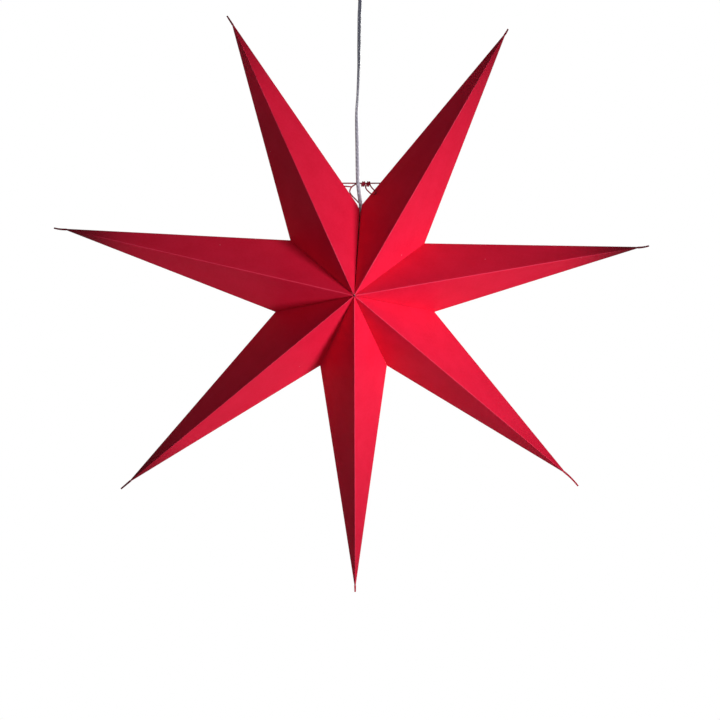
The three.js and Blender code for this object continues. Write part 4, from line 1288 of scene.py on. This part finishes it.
def make_tail_core(side, node, material):
    start, end = side * CORE_ASIDE, side * BLOCK_PITCH / 2
    behind_cord = CORD_WIDTH / 2
    block_z = BLOCK_CENTRE.z
    places = [
        Vector((start, 0, TAIL_TOP + GAP)),
        Vector((start, 0, TAIL_TOP + CORD_WIDTH)),
        Vector(((start + end) / 2, behind_cord, (TAIL_TOP + block_z) / 2)),
        Vector((end, behind_cord, block_z - behind_cord)),
        Vector((end, 0, block_z)),
        Vector((end, BLOCK_HIGH.y + GAP, block_z)),
        Vector((end, BLOCK_HIGH.y - JACKET_END, block_z)),
    ]
    core = wire_piece(node + "_dressed", places, CORE_RADIUS, CORE_STEPS)
    return standing_for(core, material, node, "ceiling")


terminal_block = make_terminal_block()
make_terminal_screw(-1, "terminal_screw_live")
make_terminal_screw(1, "terminal_screw_neutral")
make_tail_core(-1, "tail_core_live", brown_pvc)
make_tail_core(1, "tail_core_neutral", blue_pvc)
print("block faces:", len(terminal_block.data.polygons))

# %% [markdown]
# ## The lampholder
# The cord ends in a small lampholder inside the star. Its white shell is in two halves that
# screw together, a domed cap with a cord grip and a skirt with a rim. Between them sits the
# ivory insert with the brass shell and the springy centre contact.

# %% Cap and skirt of the holder
LAMP_X = CORD_ROUTE[-1][0] * MM
HOLDER_TOP = -307.5 * MM
NECK_RADIUS = 4.5 * MM
NECK_HEIGHT = 6 * MM
DOME_HEIGHT = 11 * MM
HOLDER_RADIUS = 13.6 * MM
HOLDER_HEIGHT = 24 * MM
HOLDER_WALL = 1.5 * MM
SKIRT_RADIUS = 14.2 * MM
SKIRT_HEIGHT = 26 * MM
CORE_BORE = 1.65 * MM
GRIP_HOLE = 1.5 * MM
GRIP_HOLE_BEYOND = 2 * MM
GRIP_SCREW_RADIUS = 1.2 * MM
GRIP_SCREW_LENGTH = 2.6 * MM
RING_COUNT = 5  # grooves round the skirt, for the fingers
RING_START_MM = 4
RING_PITCH_MM = 2.2
RING_DEPTH = 0.35 * MM


def dome(radius, start, top, bottom, steps=10):
    rings = []
    for i in range(steps + 1):
        angle = math.pi / 2 * (1 - i / steps)
        rings.append((start + (radius - start) * math.cos(angle), bottom + (top - bottom) * math.sin(angle)))
    return rings


def make_holder_cap():
    neck = HOLDER_TOP - NECK_HEIGHT
    shoulder = neck - DOME_HEIGHT
    foot = HOLDER_TOP - HOLDER_HEIGHT
    inner = HOLDER_RADIUS - HOLDER_WALL
    inside = dome(inner, CORE_BORE, neck - HOLDER_WALL, shoulder)
    outside = dome(HOLDER_RADIUS, NECK_RADIUS, neck, shoulder)
    profile = [(CORE_BORE, HOLDER_TOP), (NECK_RADIUS, HOLDER_TOP), *outside]
    profile += [(HOLDER_RADIUS, foot), (inner, foot), *inside[::-1]]
    cap = turned_piece("holder_cap_shell", profile, LAMP_X)
    grip_z = HOLDER_TOP - NECK_HEIGHT / 2
    start, end = Vector((LAMP_X, 0, grip_z)), Vector((LAMP_X, NECK_RADIUS + GRIP_HOLE_BEYOND, grip_z))
    drilled(cap, start, end, GRIP_HOLE)
    softened(cap, 0.2 * MM)
    return standing_for(cap, white_abs, "holder_cap", "holder")


def make_holder_skirt():
    top = HOLDER_TOP - HOLDER_HEIGHT - GAP
    foot = top - SKIRT_HEIGHT
    bead = HOLDER_WALL / 2
    inner = SKIRT_RADIUS - HOLDER_WALL
    floor = SKIRT_RADIUS - RING_DEPTH
    grooves = []
    for i in range(RING_COUNT):
        z = top - (RING_START_MM + RING_PITCH_MM * i) * MM
        ring = [(SKIRT_RADIUS, 0), (floor, 0.3), (floor, 0.7), (SKIRT_RADIUS, 1)]
        grooves += [(radius, z - down * MM) for radius, down in ring]
    rim = [(SKIRT_RADIUS, foot + bead * 2), (SKIRT_RADIUS + bead, foot + bead), (SKIRT_RADIUS + bead, foot)]
    profile = [(inner, top), (SKIRT_RADIUS, top), *grooves, *rim, (inner, foot)]
    skirt = turned_piece("holder_skirt_shell", profile, LAMP_X)
    softened(skirt, 0.12 * MM)
    return standing_for(skirt, white_abs, "holder_skirt", "holder")


holder_cap = make_holder_cap()
holder_skirt = make_holder_skirt()
print("holder faces:", len(holder_cap.data.polygons), len(holder_skirt.data.polygons))

# %% Insert, with a well for each terminal screw
INSERT_TOP = -325.3 * MM
INSERT_BOTTOM = -333.3 * MM
COLLAR_HEIGHT = 5 * MM
SHELL_RADIUS = 7.8 * MM  # outside of the threaded shell
HOLDER_SCREW = 1.4 * MM
HOLDER_SCREW_LENGTH = 5 * MM
HOLDER_SCREW_ASIDE = 7 * MM


def lamp_place(x, z):
    return Vector((LAMP_X + x, 0, z))


def make_insert():
    radius = HOLDER_RADIUS - HOLDER_WALL - GAP
    collar_foot = INSERT_BOTTOM - COLLAR_HEIGHT
    inner = SHELL_RADIUS + GAP
    outer = inner + HOLDER_WALL
    profile = [(0, INSERT_TOP), (radius, INSERT_TOP), (radius, INSERT_BOTTOM), (outer, INSERT_BOTTOM)]
    profile += [(outer, collar_foot), (inner, collar_foot), (inner, INSERT_BOTTOM), (0, INSERT_BOTTOM)]
    insert = turned_piece("live_insert", profile, LAMP_X, closed=False)
    for side in (-1, 1):
        x = side * HOLDER_SCREW_ASIDE
        foot = lamp_place(x, INSERT_TOP - HOLDER_SCREW_LENGTH)
        drilled(insert, foot, lamp_place(x, INSERT_TOP + HOLDER_SCREW), HOLDER_SCREW + GAP)
    softened(insert, 0.2 * MM)
    return standing_for(insert, ivory_urea, "holder_insert", "holder")


def make_holder_screw(side, node):
    foot = lamp_place(side * HOLDER_SCREW_ASIDE, INSERT_TOP - HOLDER_SCREW_LENGTH + GAP)
    screw = plain_screw(node + "_dressed", HOLDER_SCREW, HOLDER_SCREW_LENGTH, foot, Vector((0, 0, 1)))
    return standing_for(screw, brass, node, "holder")


def make_holder_core(side, node, material):
    start, end = side * CORE_ASIDE, side * HOLDER_SCREW_ASIDE
    neck = HOLDER_TOP - NECK_HEIGHT
    stop = INSERT_TOP + GAP * 3
    drops = [(start, HOLDER_TOP), (start, neck), (start, neck - HOLDER_WALL * 2)]
    drops += [(end, stop + CORE_RADIUS * 6), (end, stop)]
    core = wire_piece(node + "_dressed", [lamp_place(x, z) for x, z in drops], CORE_RADIUS, CORE_STEPS)
    return standing_for(core, material, node, "holder")


def make_grip_screw():
    foot = Vector((LAMP_X, CORE_BORE + GAP, HOLDER_TOP - NECK_HEIGHT / 2))
    screw = plain_screw(
        "grip_screw_dressed", GRIP_SCREW_RADIUS, GRIP_SCREW_LENGTH, foot, Vector((0, 1, 0))
    )
    return standing_for(screw, white_abs, "grip_screw", "holder")


make_insert()
make_holder_screw(-1, "holder_screw_live")
make_holder_screw(1, "holder_screw_neutral")
make_holder_core(-1, "holder_core_live", brown_pvc)
make_holder_core(1, "holder_core_neutral", blue_pvc)
make_grip_screw()

# %% [markdown]
# ## Rolled threads
# The holder's shell and the lamp's cap are thin sheet with a round thread rolled into it,
# so both faces of the sheet follow the same wave. A plain tube is made with many rings, and
# every ring's vertices are then pushed in and out along a helix.

# %% A helix pressed into a tube
THREAD_DEPTH = 0.45 * MM
THREAD_PITCH = 2.82 * MM
THREAD_STEPS = 10  # rings in one turn of the thread


def tube_steps(radius, low, high):
    count = round((high - low) / THREAD_PITCH * THREAD_STEPS)
    return [(radius, low + (high - low) * i / count) for i in range(count + 1)]


def roll_thread(piece, low, high, least_radius):
    for vert in piece.data.vertices:
        across = Vector((vert.co.x - LAMP_X, vert.co.y, 0))
        depth = min(vert.co.z - low, high - vert.co.z)
        if across.length < least_radius or depth <= 0:
            continue
        rise = min(1.0, depth / THREAD_PITCH)
        turn_angle = 2 * math.pi * vert.co.z / THREAD_PITCH - math.atan2(across.y, across.x)
        vert.co += across.normalized() * THREAD_DEPTH / 2 * math.cos(turn_angle) * rise


# %% Threaded shell and centre contact of the holder
SHELL_LENGTH = 20 * MM
SHEET = 0.35 * MM
TONGUE_WIDTH = 4 * MM
TONGUE_THICKNESS = 0.5 * MM
TONGUE_DROP = 3 * MM


def make_thread_shell():
    top = INSERT_BOTTOM - GAP
    foot = top - SHELL_LENGTH
    outer = SHELL_RADIUS - THREAD_DEPTH / 2
    profile = tube_steps(outer, foot, top) + tube_steps(outer - SHEET, foot, top)[::-1]
    shell = turned_piece("threaded_shell", profile, LAMP_X)
    roll_thread(shell, foot, top, 0)
    smoothed(shell, SWEPT_SMOOTH_DEG)
    return standing_for(shell, brass, "thread_shell", "holder")


def make_centre_contact():
    top = INSERT_BOTTOM - GAP - TONGUE_THICKNESS / 2
    low = top - TONGUE_DROP + TONGUE_THICKNESS
    half = TONGUE_WIDTH / 2
    bends = [(-half * 3, top), (-half * 2, top), (0, low), (half, low)]
    places = [lamp_place(x, z) for x, z in bends]
    corner = [(1, 1), (1, -1), (-1, -1), (-1, 1)]
    section = [(a * TONGUE_THICKNESS / 2, b * half) for a, b in corner]
    piece = swept_mesh("contact_spring", smooth_route(places, 6), lambda i: section, Vector((0, -1, 0)))
    return standing_for(softened(piece, 0.08 * MM), brass, "centre_contact", "holder")


make_thread_shell()
make_centre_contact()

# %% [markdown]
# ## The lamp
# A small clear lamp with a glowing wire fits a paper star. Its bulb is blown from thin
# glass, so both faces of the wall are modelled and the light bends in each of them only a
# little. The wire is drawn tungsten, held by a glass stem that is fused into the neck.

# %% Glass
LAMP_CENTRE = -392.6 * MM
LAMP_RADIUS = 22.5 * MM
GLASS_WALL = 0.9 * MM
LAMP_CAP_RADIUS = 6.9 * MM
LAMP_CAP_TOP = -341.1 * MM
LAMP_CAP_FOOT = -363.1 * MM
LAMP_NECK = 5.65 * MM
NECK_TOP = LAMP_CAP_FOOT + THREAD_PITCH
SHOULDER_DEG = 58
STEM_RADIUS_LOW = 2 * MM
STEM_LENGTH = 24 * MM
CURVE_STEPS = 8  # of the bulb's neck and of the stem's flare
GLASS_SMOOTH_DEG = 50


def clear_glass():
    material, shader = new_material(
        "blown_clear_glass", {"Roughness": 0.02, "IOR": 1.52, "Transmission Weight": 1.0}
    )
    wave = ranged(material, noise_at(material, 14 * MM), 0.3, 0.7)
    tint = mixed(material, wave, linear("FBFDFC"), linear("F3F8F6"))
    material.node_tree.links.new(tint, shader.inputs["Base Color"])
    bumped(material, shader, noise_at(material, 18 * MM), 0.05 * MM, 0.3)
    return material


def bulb_side(inset):
    neck, radius = LAMP_NECK - inset, LAMP_RADIUS - inset
    angle = math.radians(SHOULDER_DEG)
    low = Vector((radius * math.cos(angle), LAMP_CENTRE + radius * math.sin(angle)))
    back = (low.x - neck) / math.sin(angle)
    start, bend = Vector((neck, LAMP_CAP_FOOT)), Vector((neck, low.y + back * math.cos(angle)))
    curve = []
    for i in range(CURVE_STEPS):
        t = i / CURVE_STEPS
        curve.append(tuple(start * (1 - t) ** 2 + bend * 2 * t * (1 - t) + low * t * t))
    return [(neck, NECK_TOP), *curve, *arc(radius, 0, LAMP_CENTRE, SHOULDER_DEG, -90, 24)]


def make_bulb():
    profile = bulb_side(0) + bulb_side(GLASS_WALL)[::-1]
    bulb = turned_piece("blown_bulb", profile, LAMP_X)
    smoothed(bulb, GLASS_SMOOTH_DEG)
    return standing_for(bulb, glass, "lamp_glass", "lamp")


def make_stem():
    top = NECK_TOP - GAP
    foot = top - STEM_LENGTH
    flare = LAMP_NECK - GLASS_WALL - GAP
    waist = top - STEM_LENGTH / 3
    side = []
    for i in range(CURVE_STEPS + 1):
        t = i / CURVE_STEPS
        side.append((STEM_RADIUS_LOW + (flare - STEM_RADIUS_LOW) * (1 - t) ** 3, top + (waist - top) * t))
    tip = dome(STEM_RADIUS_LOW, 0, foot, foot + STEM_RADIUS_LOW / 2, 6)[::-1]
    stem = turned_piece("fused_stem", [(0, top), *side, *tip], LAMP_X, 32, closed=False)
    smoothed(stem, GLASS_SMOOTH_DEG)
    return standing_for(stem, glass, "lamp_stem", "lamp")


glass = clear_glass()
make_bulb()
make_stem()

# %% Cap, black glass insulator, tinned contact and tungsten wire
CONTACT_RADIUS = 2.4 * MM
CONTACT_FOOT = -338.5 * MM
CONTACT_TOP = -337.1 * MM
INSULATOR_HEIGHT = 2 * MM
FILAMENT_RADIUS = 0.35 * MM
FILAMENT_HALF = [(2.65, -376.58), (3.25, -384.58), (8, -389.25), (4, -391.58), (2, -389.25)]
FILAMENT_LOW = (0, -391.58)


def make_lamp_cap():
    middle = LAMP_CAP_RADIUS - THREAD_DEPTH / 2
    root = LAMP_CAP_RADIUS - THREAD_DEPTH
    thread_low, thread_high = LAMP_CAP_FOOT + THREAD_PITCH / 2, LAMP_CAP_TOP - THREAD_PITCH * 1.8
    edge = SHEET * 4
    inner = middle - SHEET
    hole = CONTACT_RADIUS + GAP
    profile = [(LAMP_CAP_RADIUS, LAMP_CAP_FOOT), (LAMP_CAP_RADIUS, LAMP_CAP_FOOT + edge / 2)]
    profile += [*tube_steps(middle, thread_low, thread_high), (root, thread_high + edge / 2)]
    profile += [(root, LAMP_CAP_TOP - edge), (root - edge, LAMP_CAP_TOP), (hole, LAMP_CAP_TOP)]
    profile += [(hole, LAMP_CAP_TOP - SHEET), (root - edge - SHEET, LAMP_CAP_TOP - SHEET)]
    profile.append((root - SHEET, LAMP_CAP_TOP - edge - SHEET))
    profile += [*tube_steps(inner, thread_low, thread_high)[::-1], (inner, LAMP_CAP_FOOT)]
    cap = turned_piece("rolled_cap", profile, LAMP_X)
    roll_thread(cap, thread_low, thread_high, LAMP_NECK)
    smoothed(cap, SWEPT_SMOOTH_DEG)
    return standing_for(cap, nickel_brass, "lamp_cap", "lamp")


def make_insulator():
    foot = LAMP_CAP_TOP + GAP
    rim = LAMP_CAP_RADIUS - THREAD_DEPTH - SHEET * 4
    profile = [(0, foot), (rim, foot), *dome(rim, CONTACT_RADIUS, foot + INSULATOR_HEIGHT, foot)[::-1][1:]]
    profile.append((0, foot + INSULATOR_HEIGHT))
    piece = softened(turned_piece("insulator_bead", profile, LAMP_X, 48, closed=False), 0.1 * MM)
    return standing_for(piece, black_glass, "lamp_insulator", "lamp")


def make_lamp_contact():
    round_top = dome(CONTACT_RADIUS, 0, CONTACT_TOP, (CONTACT_FOOT + CONTACT_TOP) / 2)[::-1]
    profile = [(0, CONTACT_FOOT), (CONTACT_RADIUS, CONTACT_FOOT), *round_top]
    piece = softened(turned_piece("tinned_drop", profile, LAMP_X, 32, closed=False), 0.05 * MM)
    return standing_for(piece, tinned, "lamp_contact", "lamp")


def make_filament():
    other = [(-x, z) for x, z in FILAMENT_HALF[::-1]]
    places = [lamp_place(x * MM, z * MM) for x, z in [*FILAMENT_HALF, FILAMENT_LOW, *other]]
    piece = wire_piece("tungsten_wire", places, FILAMENT_RADIUS, 5)
    return standing_for(piece, tungsten, "filament", "lamp")


black_glass = moulded("cast_black_glass", "17181A", "0D0E10", 0.12)
tinned = plated("tinned_solder", "C9C9C5", "AFAFAB", 0.32, 1.5 * MM)
tungsten = plated("drawn_tungsten", "8C8A87", "6E6C69", 0.38, 1 * MM)
make_lamp_cap()
make_insulator()
make_lamp_contact()
make_filament()
print("materials:", len(bpy.data.materials))

# %% [markdown]
# ## Light, floor and background
# The star is lit by one soft spot lamp on the viewer's right, a little below its middle,
# so each panel that faces it glows and the next one falls into a deep red. Its cone is
# narrow, so the light falls off towards the tips. A weaker spot in front, a soft lamp
# behind and the pale room fill the shadows, and a narrow spot of its own lights the ceiling
# cup. The background is white where the camera sees it, directly, in a reflection or
# through glass, and much darker for all other rays, so that it adds little light. The
# floor fades into it round its edge.

# %% Lamps
KEY_AZIMUTH_DEG = -10
KEY_TOWARDS_VIEWER = 1.3
KEY_DISTANCE = 2.5
KEY_SIZE = 0.5
KEY_WATTS = 300
KEY_CONE_DEG = 19.5
KEY_AIM = Vector((0.02, 0, -0.03))  # counted from the star's middle, as the next places are
FILL_PLACE = Vector((-0.2, -1.8, 0.5))
FILL_SIZE = 0.6
FILL_WATTS = 20
FILL_CONE_DEG = 26
BACK_PLACE = Vector((0.5, 2.0, 0.4))
BACK_SIZE = 1.0
BACK_WATTS = 30
CUP_MIDDLE = mm(0, 0, -15)
CUP_LAMP_PLACE = Vector((-0.5, -1.8, -0.2))  # counted from the cup's middle
CUP_LAMP_SIZE = 0.3
CUP_WATTS = 340
CUP_CONE_DEG = 5.5  # too narrow to reach the two upper points
ROOM_STRENGTH = 0.06


def placed_lamp(data, place, aim):
    lamp = bpy.data.objects.new(data.name, data)
    lamp.location = place
    lamp.rotation_mode = "QUATERNION"
    lamp.rotation_quaternion = (aim - place).to_track_quat("-Z", "Y")
    bpy.context.scene.collection.objects.link(lamp)


def area_lamp(name, place, watts, size, aim):
    data = bpy.data.lights.new(name, "AREA")
    data.energy = watts
    data.shape = "DISK"
    data.size = size
    placed_lamp(data, place, aim)


def spot_lamp(name, place, watts, size, aim, cone_deg):
    data = bpy.data.lights.new(name, "SPOT")
    data.energy = watts
    data.shadow_soft_size = size / 2
    data.spot_size = math.radians(cone_deg)
    data.spot_blend = 1.0
    placed_lamp(data, place, aim)


key_angle = math.radians(KEY_AZIMUTH_DEG)
key_direction = Vector((math.cos(key_angle), -KEY_TOWARDS_VIEWER, math.sin(key_angle))).normalized()
key_place = STAR + key_direction * KEY_DISTANCE
spot_lamp("side_lamp", key_place, KEY_WATTS, KEY_SIZE, STAR + KEY_AIM, KEY_CONE_DEG)
spot_lamp("front_lamp", STAR + FILL_PLACE, FILL_WATTS, FILL_SIZE, STAR, FILL_CONE_DEG)
cup_lamp_place = CUP_MIDDLE + CUP_LAMP_PLACE
spot_lamp("ceiling_lamp", cup_lamp_place, CUP_WATTS, CUP_LAMP_SIZE, CUP_MIDDLE, CUP_CONE_DEG)
area_lamp("back_lamp", STAR + BACK_PLACE, BACK_WATTS, BACK_SIZE, STAR)


# %% White background, as the camera sees it
def shown_directly(tree):
    path = tree.nodes.new("ShaderNodeLightPath")
    most = path.outputs["Is Camera Ray"]
    for other in ("Is Glossy Ray", "Is Transmission Ray"):
        either = tree.nodes.new("ShaderNodeMath")
        either.operation = "MAXIMUM"
        tree.links.new(most, either.inputs[0])
        tree.links.new(path.outputs[other], either.inputs[1])
        most = either.outputs[0]
    return most


def add_room():
    world = bpy.data.worlds.new("pale_room")
    world.use_nodes = True
    tree = world.node_tree
    background = tree.nodes["Background"]
    background.inputs["Color"].default_value = (1, 1, 1, 1)
    strength = tree.nodes.new("ShaderNodeMapRange")
    tree.links.new(shown_directly(tree), strength.inputs["Value"])
    strength.inputs["To Min"].default_value = ROOM_STRENGTH
    strength.inputs["To Max"].default_value = 1.0
    tree.links.new(strength.outputs["Result"], background.inputs["Strength"])
    bpy.context.scene.world = world


# %% Floor
FLOOR_BELOW_STAR = 0.85
FLOOR_RADIUS = 1.1
FLOOR_SIDES = 96
FLOOR_FADE = (0.35, 0.97)  # where it starts and ends, as shares of the radius


def floor_material():
    material, shader = new_material("pale_floor", {"Roughness": 0.9, "Base Color": linear("F4F4F2")})
    tree = material.node_tree
    place = add_node(material, "ShaderNodeSeparateXYZ", inputs={"Vector": object_place(material)})
    across = {axis: place.outputs[axis] for axis in ("X", "Y")}
    flat = add_node(material, "ShaderNodeCombineXYZ", inputs=across)
    length = add_node(material, "ShaderNodeVectorMath", {"operation": "LENGTH"}, {0: flat.outputs[0]})
    low, high = (FLOOR_RADIUS * share for share in FLOOR_FADE)
    rim = ranged(material, length.outputs["Value"], low, high)
    white = add_node(material, "ShaderNodeEmission", inputs={"Color": (1, 1, 1, 1), "Strength": 1.0})
    seen = add_node(material, "ShaderNodeMath", {"operation": "MULTIPLY"}, {0: rim, 1: shown_directly(tree)})
    shown = {0: seen.outputs[0], 1: shader.outputs[0], 2: white.outputs[0]}
    mix = add_node(material, "ShaderNodeMixShader", inputs=shown)
    tree.links.new(mix.outputs[0], tree.nodes["Material Output"].inputs["Surface"])
    return material


def add_floor():
    deselect()
    place = (0, 0, STAR.z - FLOOR_BELOW_STAR)
    bpy.ops.mesh.primitive_circle_add(
        vertices=FLOOR_SIDES, radius=FLOOR_RADIUS, fill_type="NGON", location=place
    )
    floor = named("floor")
    floor.data.materials.append(floor_material())


add_room()
add_floor()
